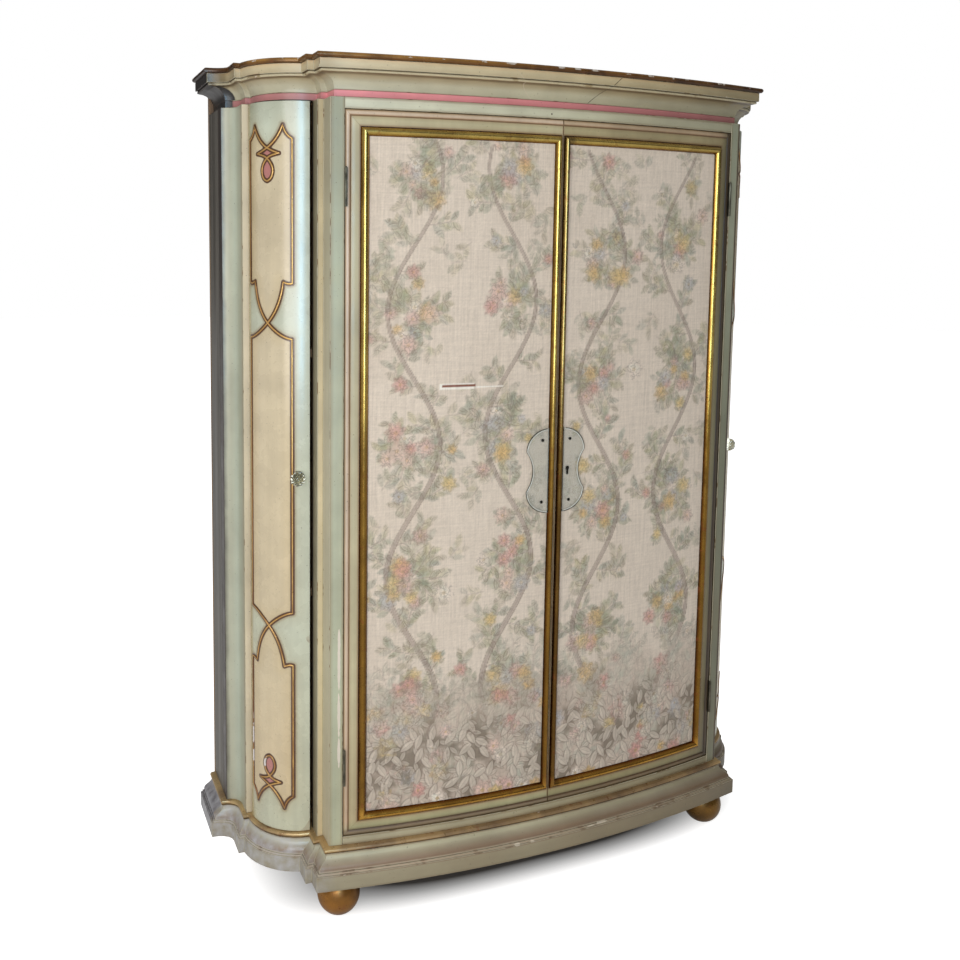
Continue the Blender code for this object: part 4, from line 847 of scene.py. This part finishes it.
def clear_plastic(name, pale, deep, cover):
    """Old clear plastic, a little smeared, that hides only some of what lies behind it."""
    material, where = finish(name)
    smear = where.noise(30.0, 5.0)
    return coated(material, mix(smear.spread(0.3, 0.7), deep, pale), smear.spread(0.3, 0.7, 0.06, 0.2),
                  {"Alpha": cover, "IOR": 1.49})


def metal(name, pale, deep, rough):
    """Worn metal with darker tarnish in patches and fine scratches."""
    material, where = finish(name)
    tarnish = where.noise(40.0, 6.0)
    scratch = where.noise(1.0, 3.0, (900.0, 900.0, 60.0))
    return coated(material, mix(tarnish.spread(0.35, 0.68), pale, deep),
                  tarnish.spread(0.3, 0.7, rough - 0.08, rough + 0.12),
                  {"Metallic": 1.0, "Normal": bump(scratch, 0.12, 0.0003)})


clear = clear_plastic("clear_acrylic", (222, 228, 220), (194, 200, 192), 0.21)
clear_painted_shade = clear_plastic("clear_acrylic_painted_shade", (104, 104, 96), (70, 70, 62), 0.85)
clear_painted_highlight = clear_plastic("clear_acrylic_painted_highlight", (240, 242, 234), (206, 208, 198), 0.9)
screw_iron = metal("screw_iron", (58, 54, 48), (30, 27, 24), 0.45)
rod_maker, given = maker("rod_maker", Width="Float")
line = add(rod_maker, "GeometryNodeMeshToCurve", {0: given["Geometry"]})[0]
round_rod = add(rod_maker, "GeometryNodeCurvePrimitiveCircle", {"Resolution": 12, "Radius": given["Width"] * 0.5})[0]
rod = add(rod_maker, "GeometryNodeCurveToMesh", {"Curve": line, "Profile Curve": round_rod, "Fill Caps": True})[0]
rod = add(rod_maker, "GeometryNodeSetShadeSmooth", {0: rod})[0]
ended(rod_maker, rod, given["Finish"])
screw_maker, given = maker("plate_screw_maker", Radius="Float", Dome="Float", Slot="Float")
head = add(screw_maker, "GeometryNodeMeshUVSphere", {"Segments": 20, "Rings": 12, "Radius": given["Radius"]})[0]
place = add(screw_maker, "GeometryNodeInputPosition")[0].axes()
level = (place["Z"] * (given["Dome"] / given["Radius"])).calc("MAXIMUM", screw_foot)
head = add(screw_maker, "GeometryNodeSetPosition",
           {"Geometry": head, "Position": joined(place["X"], place["Y"], level)})[0]
size = add(screw_maker, "ShaderNodeCombineXYZ", {0: slot_length, 1: given["Slot"], 2: given["Dome"]})[0]
bar = add(screw_maker, "GeometryNodeMeshCube", {"Size": size})[0]
lift = add(screw_maker, "ShaderNodeCombineXYZ", {2: given["Dome"]})[0]
bar = add(screw_maker, "GeometryNodeTransform", {"Geometry": bar, "Translation": lift})[0]
head = add(screw_maker, "GeometryNodeMeshBoolean", {"Mesh 1": head, "Mesh 2": bar}, operation="DIFFERENCE",
           solver="EXACT")[0]
heads = add(screw_maker, "GeometryNodeInstanceOnPoints",
            {"Points": given["Geometry"], "Instance": head, "Rotation": (math.radians(90), math.radians(35), 0.0)})[0]
ended(screw_maker, heads, given["Finish"])
violin = [(plate_waist + (plate_lobe - plate_waist) * (i / 12) ** 2, plate_cusp * i / 12) for i in range(12)]
violin += [(plate_lobe * math.cos(a), plate_cusp + (plate_half - plate_cusp) * math.sin(a))
           for a in (i * math.pi / 38 for i in range(19))]
violin = [(reach, -z) for reach, z in reversed(violin[1:])] + violin
violin_edges = [(i, i + 1) for i in range(len(violin) - 1)]
for side, sign in sides:
    plate = dressed(side + "_push_plate", clear, clear_painted_highlight, 0.0006)
    plate.data.materials.append(clear_painted_shade)
    for face in plate.data.polygons:
        if abs(face.normal.y) < 0.5:
            face.material_index = 2
    # The rim rod is a painted highlight and the edge rod is painted shade.
    for label, inset, width, coat in (("rim", 0.0026, 0.0022, clear_painted_highlight), ("edge", 0.0006, 0.0014, clear_painted_shade)):
        points = [on_bow(sign * (rim_start + max(reach - inset, 0.0)), rim_sunk,
                         plate_middle + z * (1 - inset / plate_half)) for reach, z in violin]
        plate_rim = grown("%s_plate_%s" % (side, label), rod_maker, points, violin_edges, Width=width, Finish=coat)
        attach(plate_rim, side + "_door")
    places = [on_bow(sign * screw_x, plate_front, plate_middle + z) for z in (-screw_z, screw_z)]
    screws = grown(side + "_plate_screws", screw_maker, places, Radius=0.0036, Dome=0.0016, Slot=0.0008,
                   Finish=screw_iron)
    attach(screws, side + "_door")
keyhole = [(key_radius * math.cos(a), key_radius * math.sin(a))
           for a in (math.radians(-56 + i * 292 / 20) for i in range(21))]
keyhole += [(-key_half, key_foot), (key_half, key_foot)]
points = [on_bow(key_x + x, offset, key_z + z) for offset in (0.0, plate_front + 0.0001) for x, z in keyhole]
ends = [tuple(range(len(keyhole))), tuple(range(len(keyhole), len(points)))]
keyhole_painted_shade = solid("keyhole_painted_shade", points, ends + between_rings(2, len(keyhole)), [screw_iron])
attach(keyhole_painted_shade, "right_door")

# Hinges, lock and top bolt: dark iron butts on the door edges, brass lock parts behind the doors.
# Leaves are let in flush and pinned; the bolts slide in their case and guide.
hinge_iron = metal("hinge_iron", (116, 110, 94), (72, 66, 55), 0.5)
lock_brass = metal("lock_brass", (196, 160, 96), (128, 98, 56), 0.34)
for side, _ in sides:
    for height in ("lower", "upper"):
        for leaf_of in ("door", "post"):
            dressed("%s_%s_hinge_%s_leaf" % (side, height, leaf_of), hinge_iron, None, 0.0002)
for node in ("lock_case", "lock_bolt", "lock_keeper", "left_bolt_guide", "left_door_bolt"):
    dressed(node, lock_brass, None, 0.0004)

# Corner doors: a quarter-round leaf on each front corner, coopered, painted sage and varnished.
# Ochre reserves and pink fills are painted inside raised gilt straps; the leaf turns on brass pins.
corner_x, corner_y, corner_radius, corner_thick = 0.515, 0.02625, 0.116, 0.018
corner_low, corner_high, corner_levels = 0.154, 1.718, 601
lead_edge = math.radians(5.9)
pivot, pivot_rounding = (0.61502, 0.00625), 0.0185
strap_middle, strap_centre, strap_spread = 0.9375, 51.2, 0.97
strap_width, strap_sunk, strap_shadow = 0.0056, 0.0011, 0.0050
peak = 1.670
long_cross, short_cross, drop_tip = (0.0, 0.406), (0.0, 0.0455), (0.0, 0.0665)
strap_bends = [((-15.0, 0.436), long_cross, 9), ((15.0, 0.376), (18.7, 0.320), 9), ((24.0, 0.326), (28.5, 0.323), 4),
               ((28.5, 0.175), (28.5, 0.028), 1), ((20.5, 0.020), (18.5, 0.0), 5), ((12.0, 0.032), short_cross, 9),
               ((-8.0, 0.054), (-14.4, 0.057), 4), ((-4.0, 0.060), drop_tip, 5), ((7.5, 0.080), (7.0, 0.094), 6),
               ((6.0, 0.110), (0.0, 0.113), 6)]


def curve(start, control, stop, steps):
    """Points of a simple bend, without its first one."""
    return [tuple((1 - t) ** 2 * a + 2 * t * (1 - t) * b + t * t * c for a, b, c in zip(start, control, stop))
            for t in (i / steps for i in range(1, steps + 1))]


def upper_strap(way):
    """One strap of the upper end, from the middle of the leaf's side up to the teardrop, in degrees and drops."""
    route = [(-28.0, peak - strap_middle), (-28.0, 0.439)]
    for control, stop, steps in strap_bends:
        route += curve(route[-1], control, stop, steps)
    return [(way * turn * strap_spread, drop) for turn, drop in route]


def mirrored_down(route):
    return [(turn, 2 * (peak - strap_middle) - drop) for turn, drop in route]


def both_sides(route):
    """A route and its way back on the other side."""
    return route + [(-turn, drop) for turn, drop in reversed(route)]


strap_routes = [upper_strap(1), upper_strap(-1)]
strap_routes += [mirrored_down(route) for route in strap_routes]
one = strap_routes[0]
cross_long, cross_short, cross_tip = (one.index(place) for place in (long_cross, short_cross, drop_tip))
end_reserve = both_sides(one[cross_long:cross_short + 1])
middle_reserve = both_sides(one[:cross_long + 1])
middle_reserve += mirrored_down(middle_reserve[::-1])
lozenge = both_sides(one[cross_short:cross_tip + 1])
teardrop = both_sides(one[cross_tip:])


def flat(route):
    """A route in degrees and drops as arc length and height, in metres."""
    return np.array([(math.radians(turn) * corner_radius, peak - drop) for turn, drop in route])


def away_from(points, route, closed):
    """The distance of each point from a route, and whether it lies inside it."""
    best = np.full(len(points), 1.0)
    inside = np.zeros(len(points), bool)
    after = np.roll(route, -1, axis=0) if closed else route[1:]
    for a, b in zip(route if closed else route[:-1], after):
        step = b - a
        share = np.clip(((points - a) @ step) / max(step @ step, 1e-12), 0, 1)
        best = np.minimum(best, np.hypot(*(points - a - share[:, None] * step).T))
        if a[1] != b[1]:
            crossing = (points[:, 1] < a[1]) != (points[:, 1] < b[1])
            inside ^= crossing & (points[:, 0] < a[0] + step[0] * (points[:, 1] - a[1]) / (b[1] - a[1]))
    return best, inside


def signed(points, routes):
    """How deep each point lies inside any of some closed routes, negative outside."""
    deepest = np.full(len(points), -1.0)
    for route in routes:
        best, inside = away_from(points, flat(route), True)
        deepest = np.maximum(deepest, np.where(inside, best, -best))
    return deepest


def arc(radius, count):
    """The leaf's curve at a radius, from its leading edge to the rounding about its pivot, and the turns."""
    reach = math.hypot(pivot[0] - corner_x, pivot[1] - corner_y)
    share = (reach ** 2 + radius ** 2 - pivot_rounding ** 2) / (2 * reach * radius)
    first = math.asin(corner_radius * math.sin(lead_edge) / radius)
    last = math.atan2(pivot[0] - corner_x, corner_y - pivot[1]) + math.acos(min(share, 1.0))
    turns = np.linspace(first, last, count + 1)
    return [(corner_x + radius * math.sin(t), corner_y - radius * math.cos(t)) for t in turns], turns


outer_line, outer_turns = arc(corner_radius, 92)
inner_line, _ = arc(corner_radius - corner_thick, 14)
start, stop = (math.atan2(line[-1][1] - pivot[1], line[-1][0] - pivot[0]) for line in (outer_line, inner_line))
nose = [(pivot[0] + pivot_rounding * math.cos(a), pivot[1] + pivot_rounding * math.sin(a))
        for a in (start + (stop - start) * i / 7 for i in range(1, 7))]
lead = tuple(a + (b - a) * 0.05 for a, b in zip(outer_line[0], inner_line[0]))
outline = outer_line + nose + inner_line[::-1] + [lead]
size = len(outline)
levels = np.linspace(corner_low, corner_high, corner_levels)
leaf_faces = between_rings(corner_levels, size)
leaf_faces += [tuple(reversed(range(size))), tuple((corner_levels - 1) * size + c for c in range(size))]
bare_inside = [0] * (len(outer_line) + len(nose)) + [1] * (len(inner_line) - 1) + [0] * 2
leaf_coats = bare_inside * (corner_levels - 1) + [1, 1]
centre_turn = math.radians(strap_centre)
sheet_points = np.array([((turn - centre_turn) * corner_radius, z) for z in levels for turn in outer_turns])
reserve = signed(sheet_points, [end_reserve, mirrored_down(end_reserve), middle_reserve])
pink = signed(sheet_points, [lozenge, teardrop, mirrored_down(lozenge), mirrored_down(teardrop)])
shadow = np.full(len(sheet_points), 1.0)
for route in strap_routes:
    shadow = np.minimum(shadow, away_from(sheet_points, flat(route), False)[0])
# The leading edge is painted near black as painted shade in the gap beside the pilaster; the brown band just outside
# each strap is a painted shadow.
corner_paint = aged_paint(
    "corner_door_paint", "reserve",
    [(-0.100, (18, 14, 11)), (-0.090, (18, 14, 11)), (-0.088, (146, 118, 84)), (-0.0604, (146, 118, 84)),
     (-0.060, (204, 212, 195)), (-0.030, (204, 211, 193)), (-0.011, (198, 202, 182)), (-0.006, (176, 168, 140)),
     (-0.002, (140, 112, 78)), (0.0, (140, 112, 76)), (0.003, (200, 182, 146)), (0.010, (214, 198, 164)),
     (0.03, (216, 202, 172))],
    fades=[("Z", [(0.15, (252, 244, 232)), (0.5, (255, 252, 246)), (1.3, as_is), (1.66, (250, 250, 248)),
                  (1.72, (226, 224, 218))]),
           ("Y", [(-0.030, as_is), (0.0, (250, 246, 236)), (0.010, (224, 204, 172)), (0.026, (200, 172, 132))])],
    inlay=[("pink", (184, 122, 116), 0.0008), ("outline", (86, 56, 34), 0.0007)],
    brushed=upright_brush, glaze=0.14, rough=(0.20, 0.34), coat=0.45, wobble=0.0006)
strap_gilt, where = finish("strap_gilding")
axes = where.axes()
proud = joined(abs(axes["X"]) - corner_x, axes["Y"] - corner_y).length() - corner_radius
crest = proud.bands([(0.0, (70, 44, 24)), (0.0008, (112, 72, 38)), (0.0013, (186, 138, 76)),
                     (0.0017, (226, 186, 116))])
rubbed = where.noise(26.0, 6.0).spread(0.40, 0.66, 0.0, 0.85) * axes["Z"].spread(0.3, 1.2, 1.0, 0.3)
crest = mix(rubbed, crest, (124, 80, 52))
whitened = axes["Z"].between(0.29, 0.38, 0.02) * axes["X"].spread(-0.610, -0.607, 1.0, 0.0)
crest = mix(whitened * where.noise(50.0, 4.0).spread(0.44, 0.50), crest, (232, 226, 222))
coated(strap_gilt, crest, where.noise(60.0, 4.0).spread(0.3, 0.7, 0.26, 0.46), {"Metallic": 0.6})
for side, sign in sides:
    points = [(sign * x, y, z) for z in levels for x, y in outline]
    leaf_piece = solid(side + "_corner_leaf", points, leaf_faces, [corner_paint, pine_upright], 40.0)
    leaf_piece.data.polygons.foreach_set("material_index", leaf_coats)
    for label, depth in (("reserve", np.maximum(reserve, -0.06)), ("pink", pink), ("outline", strap_shadow - shadow)):
        values = np.full((corner_levels, size), -0.086)
        values[:, -2:] = -0.10
        values[:, :len(outer_turns)] = depth.reshape(corner_levels, -1)
        stored(leaf_piece, label, values.ravel())
    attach(leaf_piece, side + "_corner_door")
    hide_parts(side + "_corner_door")
    points, edges = [], []
    radius = corner_radius - strap_sunk
    for route in strap_routes:
        first = len(points)
        for turn, drop in route:
            angle = math.radians(strap_centre + turn)
            x, y = corner_x + radius * math.sin(angle), corner_y - radius * math.cos(angle)
            points.append((sign * x, y, peak - drop))
        edges += [(i, i + 1) for i in range(first, len(points) - 1)]
    straps = grown(side + "_corner_straps", rod_maker, points, edges, Width=strap_width, Finish=strap_gilt)
    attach(straps, side + "_corner_door")
    for height in ("lower", "upper"):
        dressed("%s_corner_pin_%s" % (side, height), lock_brass, None, 0.0002)

# Glass knobs: pressed clear glass with twelve flutes that run into a star on the face.
# Each stands on a small brass rose and is held by a screw through the corner door.
knob_turn, knob_level = math.radians(18.0), 0.940
knob_section = [(0.0066, 0.0052, 0.0), (0.0070, 0.0072, 0.03), (0.0105, 0.0096, 0.08), (0.0145, 0.0136, 0.11),
                (0.0158, 0.0184, 0.13), (0.0158, 0.0226, 0.14), (0.0145, 0.0272, 0.18), (0.0118, 0.0312, 0.22),
                (0.0080, 0.0340, 0.24), (0.0040, 0.0352, 0.16)]
rose_section = [(0.0128, 0.0004), (0.0130, 0.0018), (0.0120, 0.0028), (0.0100, 0.0032), (0.0092, 0.0044),
                (0.0068, 0.0052), (0.0040, 0.0054)]
rose_section = [(radius, height, 0.0) for radius, height in rose_section]
glass, where = finish("pressed_glass")
coated(glass, mix(where.noise(90.0), (226, 230, 214), (240, 242, 230)),
       where.noise(200.0, 2.0).spread(0.3, 0.7, 0.02, 0.08), {"Transmission Weight": 1.0, "IOR": 1.5})
rose_metal = metal("rose_metal", (128, 123, 102), (76, 72, 58), 0.32)


def turned(name, section, around, flutes, sign, coat):
    """A turned or pressed shape on a corner door: radii, heights and the depths of its flutes."""
    out = Vector((sign * math.sin(knob_turn), -math.cos(knob_turn), 0.0))
    level = Vector((out.y, -out.x, 0.0))
    root = Vector((sign * corner_x, corner_y, knob_level)) + out * corner_radius
    points = []
    for radius, height, depth in section:
        for angle in (full_turn * i / around for i in range(around)):
            wide = radius * (1 - depth * (0.5 - 0.5 * math.cos(flutes * angle)))
            aside = level * (wide * math.cos(angle)) + Vector((0, 0, wide * math.sin(angle)))
            points.append(root + out * height + aside)
    ends = [tuple(range(around)), tuple(range(len(points) - around, len(points)))]
    return solid(name, points, between_rings(len(section), around) + ends, [coat], 40.0)


for side, sign in sides:
    knob = turned(side + "_knob_glass", knob_section, 96, 12, sign, glass)
    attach(knob, side + "_corner_door")
    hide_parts(side + "_knob")
    rose = turned(side + "_knob_rose", rose_section, 40, 1, sign, rose_metal)
    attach(rose, side + "_corner_door")

# Studio: a white floor with a painted contact shadow under the cabinet, a large soft lamp from the left front and an
# even surround.
# A narrow card gives the varnished corner its upright glint. The camera stands where the photograph was taken.
floor_radius, floor_sides = 18.0, 48
shadow_wide, shadow_deep, shadow_round = 0.72, 0.245, 3.0
floor_paint, where = finish("white_floor")
tree = where.tree
path = add(tree, "ShaderNodeLightPath")
seen = path["Is Glossy Ray"] * 0.2 + path["Is Camera Ray"].calc("MAXIMUM", path["Is Transmission Ray"])
axes = where.axes()
across, along = ((abs(axes[axis]) / half).calc("POWER", shadow_round)
                 for axis, half in (("X", shadow_wide), ("Y", shadow_deep)))
far = (across + along).calc("POWER", 1.0 / shadow_round)
white = mix(where.noise(0.6, 2.0), (246, 246, 246), (250, 250, 250))
# Inside the footprint the floor is painted grey and glows less: a painted contact shadow.
white = mix(far.spread(0.70, 0.94), (118, 116, 114), white)
coated(floor_paint, white, 0.9, {"Specular IOR Level": 0.0})
floor_glow_and_painted_shadow = add(tree, "ShaderNodeEmission", {"Strength": seen * far.spread(0.60, 0.94, 0.0, 0.95)})[0]
both = add(tree, "ShaderNodeAddShader", {0: Value(tree.nodes["Principled BSDF"].outputs[0]), 1: floor_glow_and_painted_shadow})[0]
put(tree.nodes["Material Output"], {"Surface": both})
points = [(floor_radius * math.cos(a), floor_radius * math.sin(a), 0.0)
          for a in (full_turn * i / floor_sides for i in range(floor_sides))]
floor = solid("studio_floor", points, [tuple(range(floor_sides))], [floor_paint], outwards=False)

world = bpy.data.worlds.new("studio_surround")
bpy.context.scene.world = world
world.use_nodes = True
tree = world.node_tree
path = add(tree, "ShaderNodeLightPath")
seen, glossy = path["Is Camera Ray"].calc("MAXIMUM", path["Is Transmission Ray"]), path["Is Glossy Ray"]
ways = add(tree, "ShaderNodeTexCoord")["Generated"].axes()
toward = ways["Y"] * -0.5 + ways["X"] * -0.85
left_lit = toward.spread(0.30, 0.85, 0.0, 0.36) * ways["Z"].spread(-0.16, 0.0, 0.16, 1.0)
left_lit = left_lit + ways["Z"].spread(0.2, 0.8, 0.06, 0.38)
level = glossy * left_lit + glossy.spread(0.0, 1.0, 0.40, 0.0)
put(tree.nodes["Background"], {"Strength": seen.calc("MAXIMUM", level), "Color": srgb(*as_is)})


def lamp(name, spot, aim, wide, tall, power, tint, glossy_only=False):
    """A soft lamp turned to its aim; one may be seen only in reflections."""
    light = bpy.data.lights.new(name, "AREA")
    light.shape = "RECTANGLE"
    light.size, light.size_y = wide, tall
    light.energy = power
    light.color = tint
    piece = shown(name, light)
    piece.location = spot
    piece.rotation_euler = (Vector(aim) - Vector(spot)).to_track_quat("-Z", "Y").to_euler()
    piece.visible_diffuse = not glossy_only
    piece.visible_transmission = not glossy_only


lamp("window_lamp", (-1.75, -2.05, 1.45), (-0.2, 0.0, 0.85), 1.5, 1.6, 32.5, (1.0, 0.985, 0.965))
lamp("glint_card", (-1.05, -2.3, 1.55), (-0.55, 0.0, 1.3), 0.45, 1.5, 26.0, (0.35, 0.70, 1.0), True)

camera_place = (-1.1005, -2.04905, 1.42175)
yaw, pitch, roll = 0.379794, -0.0961648, 0.00902594
ahead = Vector((math.sin(yaw) * math.cos(pitch), math.cos(yaw) * math.cos(pitch), math.sin(pitch)))
level = Vector((math.cos(yaw), -math.sin(yaw), 0.0))
upward = level.cross(ahead)
right = math.cos(roll) * level + math.sin(roll) * upward
top = -math.sin(roll) * level + math.cos(roll) * upward
camera = bpy.data.cameras.new("photo_camera")
camera.lens = 36.79
camera.sensor_width = 36.0
camera.shift_x = 0.0803
camera.shift_y = -0.1429
camera.clip_end = 100.0
viewer = shown("photo_camera", camera)
viewer.matrix_world = Matrix.Translation(camera_place) @ Matrix((right, top, -ahead)).transposed().to_4x4()
bpy.context.scene.camera = viewer
bpy.context.scene.view_settings.view_transform = "Standard"
